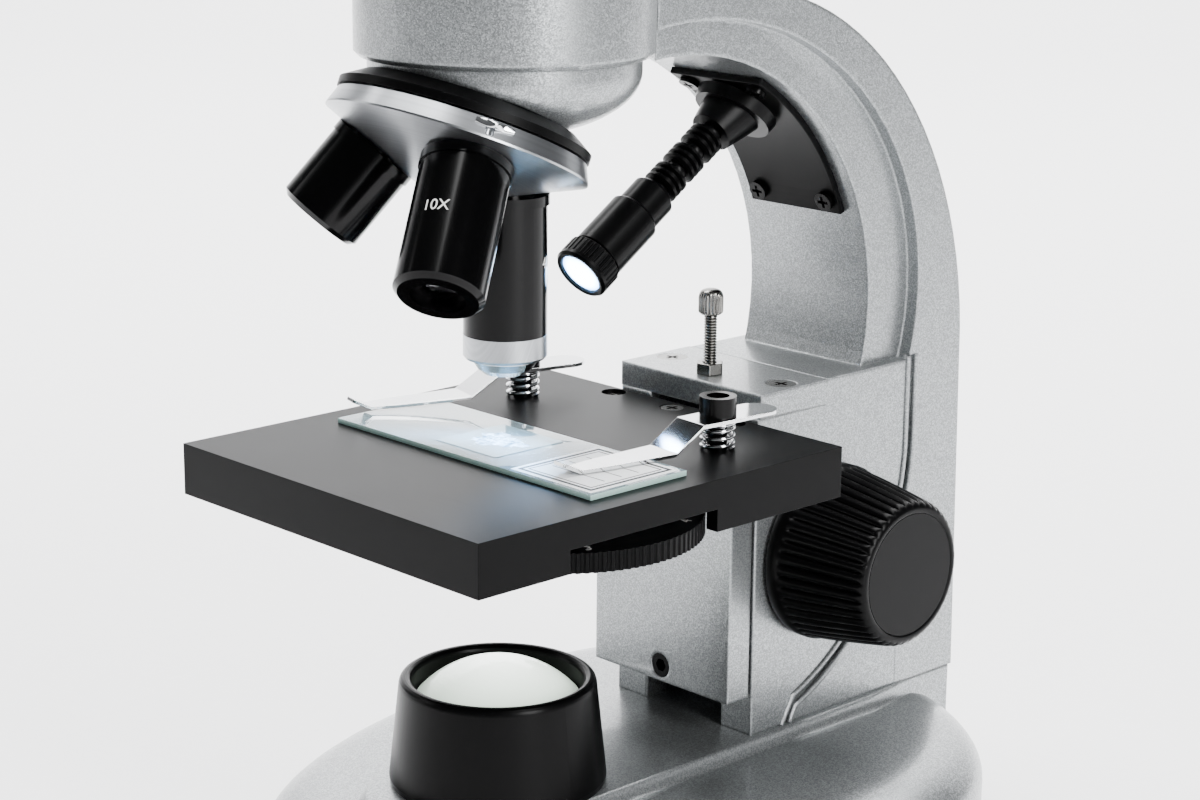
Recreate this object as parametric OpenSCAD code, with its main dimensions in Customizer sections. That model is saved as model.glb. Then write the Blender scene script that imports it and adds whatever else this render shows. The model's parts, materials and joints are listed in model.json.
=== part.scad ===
// Student compound microscope: egg-shaped base, C arm, focusing stage, tilted triple
// nosepiece, inclined monocular head, lower illuminator and a gooseneck lamp over the stage.
// +Z is up, the front is -Y, and X = 0 is the plane of symmetry. Z = 0 is the table.

/* [Placement] */
// Distance of the optical axis in front of the origin
axis_y = -36.4; // [-40:0.1:-30]
// Height of the stage's top face
stage_z = 102; // [100:1:104]

/* [Base] */
// Half of the base's width
base_half_w = 62; // [56:1:70]
// Length of the base in front of its widest line
base_front = 110; // [104:1:118]
// Length of the base behind its widest line
base_back = 60; // [58:1:62]
// Distance of the widest line behind the optical axis
base_mid_y = 60; // [58:1:62]
// Height of the raised strip that carries the column
base_top = 32; // [30:1:34]
// Wall of the base casting
base_wall = 4.2; // [3:0.1:5]
// Half of the raised strip's width
strip_half_w = 21.6; // [21:0.1:24]

/* [Column and arm] */
// Half of the column's width
column_half_w = 20.3; // [20:0.1:22]
// Half of the arm's width in front of its raised spine
web_half_w = 17.3; // [14:0.1:18.5]
// Distance of the column's front face behind the optical axis
column_y = 52.4; // [52:0.1:53]
// Distance of the column's back face behind the optical axis
back_y = 120.3; // [119:0.1:126]
// Height of the top of the focus housing
housing_z = 107.6; // [106:0.1:110]
// Half of the width of the guide channel
guide_half_w = 11.5; // [10:0.1:12.5]

/* [Focus drive] */
// Distance of the knob axis behind the optical axis
knob_y = 74; // [73:0.1:75]
// Height of the knob axis
knob_z = 69.7; // [66:0.1:73]
// Radius of a knob's inner end
knob_r = 18.8; // [15:0.1:21]
// Radius of a knob's outer end
knob_end_r = 16; // [14:0.1:18]
// Distance from the middle to a knob's outer face
knob_reach = 45; // [42:0.5:52]
// Radius of the pinion shaft
shaft_r = 3; // [2.5:0.1:3.2]
// Teeth on the pinion
pinion_teeth = 12; // [12:1:12]
// Gear module
gear_module = 0.8; // [0.8:0.1:0.8]

/* [Stage] */
// Stage width
stage_w = 90; // [86:1:100]
// Stage depth
stage_d = 97; // [96:0.5:98]
// Height of the stage's skirt
stage_h = 10.6; // [9.6:0.1:11]
// Radius of the diaphragm disc
disc_r = 29.2; // [28:0.1:31]
// Length of a microscope slide
slide_l = 76; // [75:0.5:76]
// Width of a microscope slide
slide_w = 25.5; // [25:0.5:26]

/* [Nosepiece] */
// Tilt of the nosepiece from the vertical
nose_tilt = 23.6; // [22:0.1:25]
// Height where the nosepiece axis meets the optical axis
nose_apex = 192; // [191.5:0.1:192.5]
// Radius of the turret's rim
turret_r = 26.2; // [25:0.1:27]
// Radius of an objective's barrel
objective_r = 8.6; // [7.5:0.1:9]

/* [Head] */
// Radius of the drum at the end of the arm
drum_r = 29.2; // [28:0.1:31]
// Height of the drum's lower edge
drum_z = 180.5; // [180.3:0.1:182]
// Height of the drum
drum_h = 20; // [17:0.5:24]
// Radius of the inclined tube
tube_r = 14.6; // [13.5:0.1:15.5]
// Length of the inclined tube
tube_l = 47; // [40:1:56]
// Inclination of the tube from the vertical
tube_tilt = 45; // [40:1:50]

/* [Stage lamp] */
// Radius of the lamp's body
lamp_r = 5.6; // [5:0.1:6.5]
// Radius of the gooseneck over its ribs
neck_r = 3.9; // [3.4:0.1:4.2]
// Slope of the lamp below the horizontal
lamp_slope = 34.1; // [33:0.1:35]

/* [Hidden] */
$fn = 72;
// Radial clearance of a shaft or slider that moves
run_gap = 0.05;
// Clearance between a moving piece and its neighbour
free_gap = 0.3;
skirt_z = 3;
nose_fullness = 2.3;
light_y = -2;
disc_teeth = 108;
plate_z = 5.2;
plate_t = 2;
cavity_z = 24;
shoulder_z = 20;
inner_c = [30.5, stage_z + 19.7];
inner_a = [59.4, 57.7];
spine_c = [33.5, stage_z + 21.8];
spine_a = [69.5, 62.5];
outer_c = [42.8, stage_z + 5];
outer_a = [75.6, 84.9];
spine_half_w = column_half_w + 0.1;
groove_c = [44.4, stage_z - 12];
groove_r = 57.5;
cover_z = stage_z + 0.3;
cover_t = housing_z - cover_z;
cover_y = 73.8;
cover_screw = [16.2, 63.7];
stop_y = 58.7;
pitch_r = gear_module * pinion_teeth / 2;
pitch_len = PI * gear_module;
addendum = 0.55;
rack_teeth = 17;
bush_r = 6;
block_y = 45;
block_half_w = 20.2;
block_z = 41;
plate_top_t = 3.6;
stage_under = stage_z - plate_top_t;
tongue_y = 67.5;
tongue_top = stage_z - 14;
front_y = -46.3;
stage_screw_y = 47.4;
stage_screw_x = 17.8;
skirt_w = 3;
disc_x = 15.5;
disc_z = stage_z - 13.5;
disc_t = 4;
clip_x = 29.1;
clip_y = 30.9;
post_r = 2;
clip_z = stage_z + 5.9;
clip_t = 0.8;
coil_r = 3.2;
wire_r = 0.46;
coil_step = 1.3;
spring_h = 5.8;
clip_left_turn = -14.7;
clip_right_turn = -4.5;
slide_t = 1.1;
slide_c = [1.1, -0.7];
seat_l = 38.6;
turret_s = 30.7;
turret_top_s = 27;
ring_s = 26.6;
ring_top_s = 22.5;
shank_r = 6.4;
tip_z = stage_z + 15.4;
ring_z = stage_z + 18.5;
ring40_t = 4.9;
click_turn = -118;
lens_y = 20.4;
lens_z = stage_z + 32.5;
neck_end = 45;
neck_start = 26.4;
neck_step = (neck_end - neck_start) / 3;
ball_r = 2.4;
head_z = drum_z + drum_h;
spigot_r = 21.95;
lock_z = head_z - 6;
tube_z = head_z + 14;
eyepiece_r = 11.6;
cell_r = 7.1;
cell_l = 50;
cell_y = [12, 27.5, 43];
bay_half_l = cell_l / 2 + 1;
bay_y = [cell_y[0] - cell_r - 0.8, cell_y[2] + cell_r + 0.8];
bay_wall = 1.2;
bay_h = 18.4;
door_half_w = 29.5;
switch_z = 54;
switch_tilt = 12;
base_screw_at = [[-44, 20], [44, 20], [-20, 104], [20, 104]];
foot_at = [[-26, -24], [26, -24], [-38, 92], [38, 92]];
column_screw_at = [[-15.8, 60], [15.8, 60], [0, 104]];
steel = [0.78, 0.79, 0.8];
silver = [0.68, 0.71, 0.72];
black = [0.06, 0.06, 0.07];
satin = [0.13, 0.13, 0.14];

// One node to build, or all of them

// ---- frames ----

// Origin on the optical axis at table height
module optical()
  translate([0, axis_y, 0])
    children();

// Origin on the lower illuminator's axis at table height
module light()
  translate([0, axis_y + light_y, 0])
    children();

// Profile drawn in the Y-Z plane and extruded across X
module across(width)
  rotate([90, 0, 90])
    linear_extrude(width, center = true)
      children();

// Nosepiece frame: the apex is the origin and -Z runs down the turret's axis
module nose()
  optical()
    translate([0, 0, nose_apex])
      rotate([-nose_tilt, 0, 0])
        children();

// Frame of the objective in one of the three positions, -Z down its own axis
module objective_frame(place)
  nose()
    rotate([0, 0, place * 120])
      rotate([nose_tilt, 0, 0])
        children();

// Frame of the lamp: +Z runs from the lamp's glass up along the gooseneck
module lamp_frame(along = 0)
  optical()
    translate([0, lens_y, lens_z])
      rotate([lamp_slope - 90, 0, 0])
        translate([0, 0, along])
          children();

// Frame of the inclined tube, +Z up along the tube
module tube_frame()
  optical()
    translate([0, 0, tube_z])
      rotate([-tube_tilt, 0, 0])
        children();

// ---- shared shapes ----

function signed_power(v, p) = sign(v) * pow(abs(v), p);

// Egg outline: half an ellipse behind the widest line, a fuller curve in front of it
function egg(inset) =
  [for (a = [0:5:355])
    let (p = sin(a) < 0 ? 2 / nose_fullness : 1)
      [(base_half_w - inset) * signed_power(cos(a), p),
       base_mid_y + ((sin(a) < 0 ? base_front : base_back) - inset)
                    * signed_power(sin(a), p)]];

function arc(c, r, from, to, steps = 24) =
  [for (i = [0:steps])
    let (a = from + (to - from) * i / steps)
      [c[0] + r[0] * cos(a), c[1] + r[1] * sin(a)]];

function ellipse_angle(c, r, y) = acos((y - c[0]) / r[0]);

function ellipse_angle_z(c, r, z) = asin((z - c[1]) / r[1]);

module strip_outline()
{
  half_w = strip_half_w;
  polygon(concat(
    [[half_w, 90], [column_half_w, 105], [column_half_w, back_y - 0.2],
     [-column_half_w, back_y - 0.2], [-column_half_w, 105], [-half_w, 90]],
    arc([0, light_y], [half_w, 30], 180, 360)));
}

module round_bar(r, from, to)
  translate([0, 0, from])
    cylinder(r = r, h = to - from);

// Bar along X
module cross_bar(r, from, to)
  translate([from, 0, 0])
    rotate([0, 90, 0])
      cylinder(r = r, h = to - from);

module countersunk(head_r, r, top, length)
{
  translate([0, 0, top - (head_r - r)])
    cylinder(r1 = r, r2 = head_r, h = head_r - r);
  translate([0, 0, top - length])
    cylinder(r = r, h = length);
}

// Cross recess cut in a screw's head
module cross_recess(size, depth, top)
  for (a = [0, 90])
    rotate([0, 0, a])
      translate([-size / 2, -size / 8, top - depth])
        cube([size, size / 4, depth + 1]);

// ---- base ----

module base_casting()
  color(silver)
    optical()
      difference() {
        union() {
          difference() {
            base_shell();
            translate([0, 0, -1])
              linear_extrude(cavity_z + 1)
                polygon(egg(base_wall));
          }
          for (p = base_screw_at)
            translate(p)
              round_bar(4.5, plate_z + plate_t, cavity_z + 0.5);
        }
        translate([0, light_y, 0])
          round_bar(9, cavity_z - 1, base_top + 1);
        for (p = base_screw_at)
          translate(p)
            round_bar(1.3, plate_z, 18);
        for (p = column_screw_at)
          translate(p)
            round_bar(2.2, cavity_z - 1, base_top + 1);
      }

module base_shell()
{
  translate([0, 0, skirt_z])
    linear_extrude(shoulder_z - skirt_z)
      polygon(egg(0));
  hull() {
    translate([0, 0, shoulder_z])
      linear_extrude(0.1)
        polygon(egg(0));
    translate([0, 0, base_top - 7])
      linear_extrude(0.1)
        polygon(egg(2.6));
    translate([0, 0, base_top - 3.6])
      linear_extrude(0.1)
        polygon(egg(9));
    translate([0, 0, base_top - 2.6])
      linear_extrude(0.1)
        polygon(egg(24));
  }
  translate([0, 0, shoulder_z])
    linear_extrude(base_top - shoulder_z)
      strip_outline();
  translate([-column_half_w, back_y - 20.2, skirt_z])
    cube([2 * column_half_w, 20, base_top - skirt_z]);
}

module base_plate()
  color(satin)
    optical()
      translate([0, 0, plate_z])
        difference() {
          union() {
            linear_extrude(plate_t)
              polygon(egg(base_wall + free_gap));
            translate([-bay_half_l - bay_wall, bay_y[0] - bay_wall, 0])
              cube([2 * (bay_half_l + bay_wall), bay_y[1] - bay_y[0] + 2 * bay_wall, bay_h]);
            for (side = [-1, 1])
              translate([side * (door_half_w + 1.3) - 1.1, bay_y[0] - 4, -2.8])
                cube([2.2, 85, 2.9]);
          }
          translate([-bay_half_l, bay_y[0], -1])
            cube([2 * bay_half_l, bay_y[1] - bay_y[0], bay_h + 1 - bay_wall]);
          translate([-door_half_w - 1.2, 0, -1.9])
            cube([2 * door_half_w + 2.4, 100, 1.9]);
          for (p = base_screw_at)
            translate(p)
              cylinder(r = 1.7, h = 3 * plate_t, center = true);
        }

module base_screws()
  color(steel)
    optical()
      for (p = base_screw_at)
        translate(p)
          difference() {
            union() {
              round_bar(2.8, plate_z - 1.2, plate_z);
              round_bar(1.25, plate_z - 0.1, 16);
            }
            cross_recess(3, 2, plate_z - 0.5 - 0.2);
          }

module rubber_feet()
  color(black)
    optical()
      for (p = foot_at)
        translate(p) {
          cylinder(r1 = 6.4, r2 = 7, h = 1.2);
          round_bar(7, 1.2, plate_z);
        }

module battery_door()
  color(satin)
    optical()
      difference() {
        translate([-door_half_w, bay_y[0] - 3, plate_z - 1.6])
          cube([2 * door_half_w, bay_y[1] - bay_y[0] + 6, 1.4]);
        for (i = [0:4])
          translate([-8, 45 + i * 1.6, plate_z - 2])
            cube([16, 0.8, 0.8]);
      }

module batteries()
  color([0.2, 0.35, 0.3])
    optical()
      for (y = cell_y)
        translate([0, y, plate_z + plate_t + 0.4 + cell_r]) {
          cross_bar(cell_r, -cell_l / 2, cell_l / 2 - 1.5);
          cross_bar(2.6, cell_l / 2 - 1.6, cell_l / 2);
        }

module column_screws()
  color(steel)
    optical()
      for (p = column_screw_at)
        translate(p)
          difference() {
            union() {
              round_bar(3.5, cavity_z - 3, cavity_z);
              round_bar(2, cavity_z - 0.1, base_top + 10);
            }
            translate([0, 0, cavity_z - 4])
              cylinder(r = 1.7, h = 2.6, $fn = 6);
          }

// ---- lower illuminator ----

module illuminator_housing()
  color(satin)
    light()
      rotate_extrude()
        polygon(concat(
          [[19.4, base_top], [22.2, base_top], [22.4, base_top + 1.2],
           [20.3, base_top + 20.6]],
          arc([18.9, base_top + 20.7], [1.35, 1.5], 10, 170, 8),
          [[17.4, base_top + 17.2], [14.5, base_top + 17.2],
           [14.5, base_top + 15.2], [18.6, base_top + 13.5]]));

module illuminator_lens()
{
  base = base_top + 17.4;
  rise = 7.3;
  edge = 16.6;
  dome = (edge * edge + rise * rise) / (2 * rise);
  reach = asin(edge / dome);
  color([0.93, 0.98, 0.94, 0.8])
    light()
      rotate_extrude()
        polygon(concat(
          [[0, base], [edge, base]],
          [for (i = [0:10])
            let (a = reach * (1 - i / 10))
              [dome * sin(a), base + 0.8 + rise - dome * (1 - cos(a))]]));
}

module illuminator_board()
  color([0.1, 0.35, 0.2])
    light() {
      round_bar(13, base_top, base_top + 1.6);
      round_bar(3, base_top + 1.5, base_top + 3.4);
      translate([0, 0, base_top + 3.4])
        sphere(r = 2.6, $fn = 32);
    }

// ---- column and arm ----

module arm_outline(front_c, front_a, foot_y)
{
  end_y = 12;
  from = ellipse_angle_z(front_c, front_a, housing_z - 2);
  polygon(concat(
    arc(front_c, front_a, from, ellipse_angle(front_c, front_a, end_y)),
    [[end_y, outer_c[1] + outer_a[1]]],
    arc(outer_c, outer_a, 90, 0),
    [[back_y, base_top], [foot_y, base_top], [foot_y, housing_z - 2]]));
}

module groove(width, depth)
  for (side = [-1, 1])
    translate([side * (spine_half_w - depth / 2 + 0.5), 0, 0])
      across(depth + 1)
        polygon(concat(
          arc(groove_c, [groove_r + width / 2, groove_r + width / 2], 0, -68),
          [[63.4 + width / 2, base_top - 1], [63.4 - width / 2, base_top - 1]],
          arc(groove_c, [groove_r - width / 2, groove_r - width / 2], -68, 0),
          [[groove_c[0] + groove_r - width / 2, housing_z + 1],
           [groove_c[0] + groove_r + width / 2, housing_z + 1]]));

module arm_casting()
  color(silver)
    optical()
      difference() {
        union() {
          across(2 * web_half_w)
            arm_outline(inner_c, inner_a, 90);
          across(2 * spine_half_w)
            arm_outline(spine_c, spine_a, 100);
          across(2 * column_half_w)
            polygon([[column_y, base_top], [110, base_top], [110, housing_z],
                     [column_y, housing_z]]);
        }
        translate([-40, column_y - 1, cover_z])
          cube([80, cover_y + 0.1 - column_y + 1, 40]);
        groove(2.6, 1.2);
        translate([-guide_half_w, column_y - 1, base_top - 1])
          cube([2 * guide_half_w, 68.2 - column_y + 1, 90]);
        translate([-4.6, 60, base_top - 1])
          cube([9.2, 10.8, 90]);
        translate([-6.2, 66, knob_z - 8])
          cube([12.4, 15, 16]);
        translate([0, knob_y, knob_z])
          cross_bar(bush_r, -30, 30);
        round_bar(drum_r + 0.05, 160, 260);
        for (side = [-1, 1])
          translate([side * cover_screw[0], cover_screw[1], 0])
            round_bar(1.25, cover_z - 12, cover_z + 1);
        for (p = column_screw_at)
          translate(p)
            round_bar(2, base_top - 1, base_top + 12);
        translate([-6.5, back_y - 14, switch_z - 9.5])
          cube([13, 20, 19]);
      }

module switch_frame()
  color(satin)
    optical()
      difference() {
        union() {
          translate([-8, back_y, switch_z - 11])
            cube([16, 1.2, 22]);
          translate([-6.4, back_y - 10, switch_z - 9.4])
            cube([12.8, 10.1, 18.8]);
        }
        translate([-4.9, back_y - 9, switch_z - 7.9])
          cube([9.8, 20, 15.8]);
      }

module switch_rocker()
  color(black)
    optical()
      translate([0, back_y - 3.2, switch_z])
        rotate([switch_tilt, 0, 0])
          intersection() {
            across(9)
              polygon(concat(
                [[-4, -4.5], [-4, 4.5]],
                [for (i = [0:8])
                  let (a = 78 - 156 * i / 8)
                    [5.6 - 3.8 * cos(a) * cos(a), 7 * sin(a)]]));
            cross_bar(7.4, -6, 6);
          }

module cover_plate()
  color(silver)
    optical()
      difference() {
        translate([-column_half_w - 0.5, column_y + 0.2, cover_z])
          cube([2 * column_half_w + 1, cover_y - column_y - 0.2, cover_t]);
        translate([0, stop_y, 0])
          round_bar(1.5, cover_z - 1, housing_z + 1);
        for (side = [-1, 1])
          translate([side * cover_screw[0], cover_screw[1], 0]) {
            round_bar(1.55, cover_z - 1, housing_z + 1);
            translate([0, 0, housing_z - 1.9])
              cylinder(r1 = 1.55, r2 = 3.5, h = 1.95);
          }
      }

module cover_screws()
  color(steel)
    optical()
      for (side = [-1, 1])
        translate([side * cover_screw[0], cover_screw[1], 0])
          difference() {
            countersunk(3.3, 1.2, housing_z - 0.1, 14);
            cross_recess(3.2, 1.2, housing_z - 0.1);
          }

module stop_screw()
  color(steel)
    optical()
      translate([0, stop_y, 0]) {
        round_bar(1.45, stage_z - 1.4, stage_z + 17.6);
        difference() {
          round_bar(2.7, stage_z + 17.2, stage_z + 22.4);
          for (a = [0:20:340])
            rotate([0, 0, a])
              translate([2.75, 0, 0])
                round_bar(0.22, stage_z + 17, stage_z + 23, $fn = 16);
        }
        translate([0, 0, stage_z + 22.3])
          intersection() {
            sphere(r = 2.55, $fn = 48);
            round_bar(3, 0, 2);
          }
      }

module stop_nut()
  color(steel)
    optical()
      translate([0, stop_y, 0])
        difference() {
          translate([0, 0, housing_z + 0.02])
            rotate([0, 0, 12])
              cylinder(r = 3.15, h = 2.5, $fn = 6);
          round_bar(1.5, housing_z - 1, housing_z + 4);
        }

// ---- focus drive ----

module focus_block()
  color(silver)
    optical()
      difference() {
        union() {
          translate([-block_half_w, block_y, block_z])
            cube([2 * block_half_w, column_y - 1 - block_y, stage_under - block_z]);
          translate([-guide_half_w + run_gap, column_y - 2, block_z + 1])
            cube([2 * (guide_half_w - run_gap), tongue_y - column_y + 2,
                  tongue_top - block_z - 1]);
        }
        translate([0, 0, 44.5])
          rotate([-90, 0, 0]) {
            round_bar(2.75, block_y - 1, block_y + 3.4);
            round_bar(1.5, block_y, 62);
          }
        for (x = [-stage_screw_x, 0, stage_screw_x])
          translate([x, stage_screw_y, 0])
            round_bar(1.2, stage_under - 9, stage_under + 1);
      }

module block_screw()
  color(black)
    optical()
      translate([0, 0, 44.5])
        rotate([-90, 0, 0])
          difference() {
            union() {
              round_bar(2.65, block_y + 0.2, block_y + 3.3);
              round_bar(1.45, block_y + 3, 61);
            }
            translate([0, 0, block_y - 1])
              cylinder(r = 1.5, h = 3.2, $fn = 6);
          }

module rack()
{
  tip = knob_y - pitch_r + addendum;
  root = knob_y - pitch_r - 0.85;
  low = knob_z - 10 * pitch_len;
  color(steel)
    optical()
      across(8)
        polygon(concat(
          [[tongue_y, low - pitch_len / 2]],
          [for (i = [0:rack_teeth - 1])
            for (p = [[root, -0.75], [tip, -0.3], [tip, 0.3], [root, 0.75]])
              [p[0], low + i * pitch_len + p[1]]],
          [[tongue_y, low + (rack_teeth - 0.5) * pitch_len]]));
}

module pinion_shaft()
  color(steel)
    optical()
      translate([0, knob_y, knob_z]) {
        cross_bar(shaft_r, -knob_reach + 4, knob_reach - 4);
        rotate([90, 0, 90])
          linear_extrude(10, center = true)
            union() {
              circle(r = pitch_r - 0.85);
              for (i = [0:pinion_teeth - 1])
                rotate([0, 0, (i + 0.5) * 360 / pinion_teeth])
                  polygon([[shaft_r, -0.7], [pitch_r - 0.3, -0.55],
                           [pitch_r + addendum, -0.25], [pitch_r + addendum, 0.25],
                           [pitch_r - 0.3, 0.55], [shaft_r, 0.7]]);
            }
      }

module shaft_bushes()
  color([0.75, 0.6, 0.3])
    optical()
      translate([0, knob_y, knob_z])
        for (side = [0, 180])
          rotate([0, 0, side])
            difference() {
              cross_bar(bush_r, 6.4, column_half_w);
              cross_bar(shaft_r + run_gap, 5, column_half_w + 5);
            }

module knob()
  translate([0, knob_y, knob_z])
    difference() {
      rotate([0, 90, 0])
        rotate_extrude()
          polygon([[shaft_r, 21.1], [knob_r + 0.3, 21.1], [knob_r + 0.3, 24],
                   [knob_r, 24.6], [knob_end_r, knob_reach - 1.6],
                   [knob_end_r - 1.4, knob_reach], [13.3, knob_reach],
                   [13.3, knob_reach - 1], [shaft_r, knob_reach - 1]]);
      for (a = [0:8:352])
        rotate([a, 0, 0])
          translate([24.8, 0, knob_r + 0.45])
            rotate([0, atan((knob_r - knob_end_r) / (knob_reach - 1.6 - 24.6)), 0])
              cross_bar(0.9, 0, knob_reach - 23, $fn = 16);
    }

module knob_right()
  color(satin)
    optical()
      knob();

module knob_left()
  color(satin)
    optical()
      mirror([1, 0, 0])
        knob();

module knob_caps()
  color(satin)
    optical()
      translate([0, knob_y, knob_z])
        for (side = [0, 180])
          rotate([0, 0, side])
            cross_bar(13.2, knob_reach - 1, knob_reach - 0.15);

// ---- stage ----

module stage_plate()
  color(black)
    optical()
      difference() {
        union() {
          difference() {
            translate([-stage_w / 2, front_y, stage_z - stage_h])
              cube([stage_w, stage_d, stage_h]);
            translate([-stage_w / 2 + skirt_w, front_y + skirt_w, stage_z - stage_h - 1])
              cube([stage_w - 2 * skirt_w, stage_d - 2 * skirt_w,
                    stage_h + 1 - plate_top_t]);
          }
          translate([disc_x, 0, 0])
            round_bar(4.6, disc_z + disc_t + 0.1, stage_under + 1);
          for (side = [-1, 1])
            translate([side * clip_x, clip_y, 0])
              round_bar(4.5, stage_under - 4, stage_under + 1);
        }
        round_bar(10, stage_under - 1, stage_z + 1);
        translate([stage_w / 2 - 4, -24, stage_z - 20])
          cube([8, 38.7, 14]);
        translate([-block_half_w - 0.4, block_y - 0.5, stage_z - 20])
          cube([2 * block_half_w + 0.8, 20, stage_under - stage_z + 20]);
        translate([disc_x, 0, 0])
          round_bar(1.55, disc_z, stage_under + 1);
        for (side = [-1, 1])
          translate([side * clip_x, clip_y, 0])
            round_bar(post_r, stage_under - 5, stage_z + 1);
        for (x = [-stage_screw_x, 0, stage_screw_x])
          translate([x, stage_screw_y, 0]) {
            round_bar(1.4, stage_under - 1, stage_z + 1);
            round_bar(2.7, stage_z - 1.9, stage_z + 1);
          }
      }

module stage_screws()
  color(steel)
    optical()
      for (x = [-stage_screw_x, 0, stage_screw_x])
        translate([x, stage_screw_y, 0])
          difference() {
            union() {
              round_bar(2.5, stage_z - 1.9, stage_z - (x == 0 ? 0.1 : 0.9));
              round_bar(1.15, stage_under - 8, stage_z - 1.8);
            }
            cross_recess(3, 0.9, stage_z - (x == 0 ? 0.1 : 0.9));
          }

module diaphragm_disc()
  color(black)
    optical()
      translate([disc_x, 0, 0])
        difference() {
          union() {
            round_bar(disc_r - 1, disc_z, disc_z + disc_t);
            difference() {
              round_bar(disc_r, disc_z, disc_z + disc_t);
              for (i = [0:disc_teeth - 1])
                rotate([0, 0, i * 360 / disc_teeth])
                  translate([disc_r + 0.2, 0, 0])
                    round_bar(0.55, disc_z - 1, disc_z + disc_t + 1, $fn = 16);
            }
          }
          round_bar(post_r + run_gap, disc_z - 1, disc_z + disc_t + 1);
          for (i = [0:5])
            rotate([0, 0, 180 + i * 60])
              translate([disc_x, 0, 0])
                round_bar([8, 1, 2, 3.2, 4.6, 6.2][i], disc_z - 1, disc_z + disc_t + 1);
        }

module disc_screw()
  color(steel)
    optical()
      translate([disc_x, 0, 0])
        difference() {
          union() {
            round_bar(3.6, disc_z - 1.9, disc_z - 0.1);
            round_bar(post_r, disc_z - 0.2, disc_z + disc_t + 0.1);
            round_bar(1.5, disc_z + disc_t, stage_under - 0.4);
          }
          translate([-2.8, -0.4, disc_z - 3])
            cube([5.6, 0.8, 1.9]);
        }

module clip_posts()
  color(black)
    optical()
      for (side = [-1, 1])
        translate([side * clip_x, clip_y, 0])
          difference() {
            union() {
              round_bar(post_r - 0.02, stage_under - 4, clip_z + clip_t + 1);
              round_bar(3.75, clip_z + clip_t + 0.05, clip_z + clip_t + 4.2);
            }
            round_bar(2.3, clip_z + clip_t + 2, clip_z + clip_t + 6);
          }

// Level cut through a round wire wound at the coil's pitch
function coil_section() =
  let (half = 360 * wire_r / coil_step)
    concat(
      [for (i = [0:8])
        let (a = half * (i / 4 - 1))
          (coil_r + wire_r * sqrt(max(0, 1 - pow(i / 4 - 1, 2)))) * [cos(a), sin(a)]],
      [for (i = [1:7])
        let (a = half * (1 - i / 4))
          (coil_r - wire_r * sqrt(max(0, 1 - pow(1 - i / 4, 2)))) * [cos(a), sin(a)]]);

module clip_springs()
  color(steel)
    optical()
      for (side = [-1, 1])
        translate([side * clip_x, clip_y, stage_z + 0.02])
          linear_extrude(spring_h, twist = -360 * spring_h / coil_step,
                         slices = 72, $fn = 12)
            polygon(coil_section());

module clip()
  difference() {
    intersection() {
      across(12)
        polygon([[15, clip_z], [-7.4, clip_z], [-14.6, stage_z + 1.4],
                 [-36.6, stage_z + 1.4], [-40.6, stage_z + 3.3],
                 [-40.3, stage_z + 4], [-36.4, stage_z + 2.15],
                 [-14.2, stage_z + 2.15], [-7, clip_z + clip_t],
                 [15, clip_z + clip_t]]);
      translate([0, 0, stage_z])
        linear_extrude(12)
          polygon(concat(
            arc([0, 10.4], [4.2, 4.2], 0, 180, 16),
            [[-4.4, 2], [-4.2, -14], [-3.2, -30], [-1.7, -40], [-1, -41.5],
             [1, -41.5], [1.7, -40], [3.2, -30], [4.2, -14], [4.4, 2]]));
    }
    round_bar(post_r + 0.04, stage_z, stage_z + 12);
  }

module clip_left()
  color(steel)
    optical()
      translate([-clip_x, clip_y, 0])
        rotate([0, 0, clip_left_turn])
          clip();

module clip_right()
  color(steel)
    optical()
      translate([clip_x, clip_y, 0])
        rotate([0, 0, clip_right_turn])
          clip();

module specimen_slide()
  color([0.8, 0.93, 0.92, 0.5])
    optical()
      translate([slide_c[0], slide_c[1], stage_z]) {
        translate([-slide_l / 2, -slide_w / 2, 0])
          cube([slide_l, slide_w, slide_t]);
        translate([-10, -9, slide_t - 0.1])
          cube([18, 18, 0.25]);
      }

// ---- stage lamp ----

module lamp_plate()
{
  low = ellipse_angle_z(inner_c, inner_a, stage_z + 39.3);
  high = ellipse_angle_z(inner_c, inner_a, stage_z + 70.4);
  color(black)
    optical()
      difference() {
        across(26)
          polygon(concat(
            arc(inner_c, inner_a - [0.1, 0.1], low, high),
            arc(inner_c, inner_a - [1.6, 1.6], high, low)));
        plate_screw_places()
          round_bar(1.2, -3, 6);
      }
}

// Screw places on the arm's inner face, +Z into the arm
module plate_screw_places()
  for (rise = [42.3, 68.7])
    for (x = [-9.6, 9.6])
      let (a = ellipse_angle_z(inner_c, inner_a, stage_z + rise))
        translate([x, inner_c[0] + (inner_a[0] - 1.6) * cos(a),
                   inner_c[1] + (inner_a[1] - 1.6) * sin(a)])
          rotate([-90 + atan2(sin(a) / inner_a[1], cos(a) / inner_a[0]), 0, 0])
            children();

module lamp_plate_screws()
  color(black)
    optical()
      plate_screw_places()
        difference() {
          union() {
            round_bar(2.2, -1.1, -0.1);
            round_bar(1.1, -0.2, 1.4);
          }
          mirror([0, 0, 1])
            cross_recess(2.8, 0.6, 1.1);
        }

module lamp_socket()
  color(black)
    difference() {
      union() {
        lamp_frame(neck_end)
          cylinder(r1 = 4.7, r2 = 6.9, h = 9.2);
        lamp_frame(neck_end + 8.9)
          rotate([17.5, 0, 0])
            translate([0, 0.3, -2.2])
              cylinder(r1 = 8.6, r2 = 9.2, h = 2.5);
      }
      lamp_frame(neck_end)
        sphere(r = ball_r + run_gap, $fn = 48);
      optical()
        across(30)
          polygon(concat(
            arc(inner_c, inner_a - [1.65, 1.65], 5, 85),
            [[60, stage_z + 100], [110, stage_z + 100], [110, stage_z + 30]]));
    }

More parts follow.
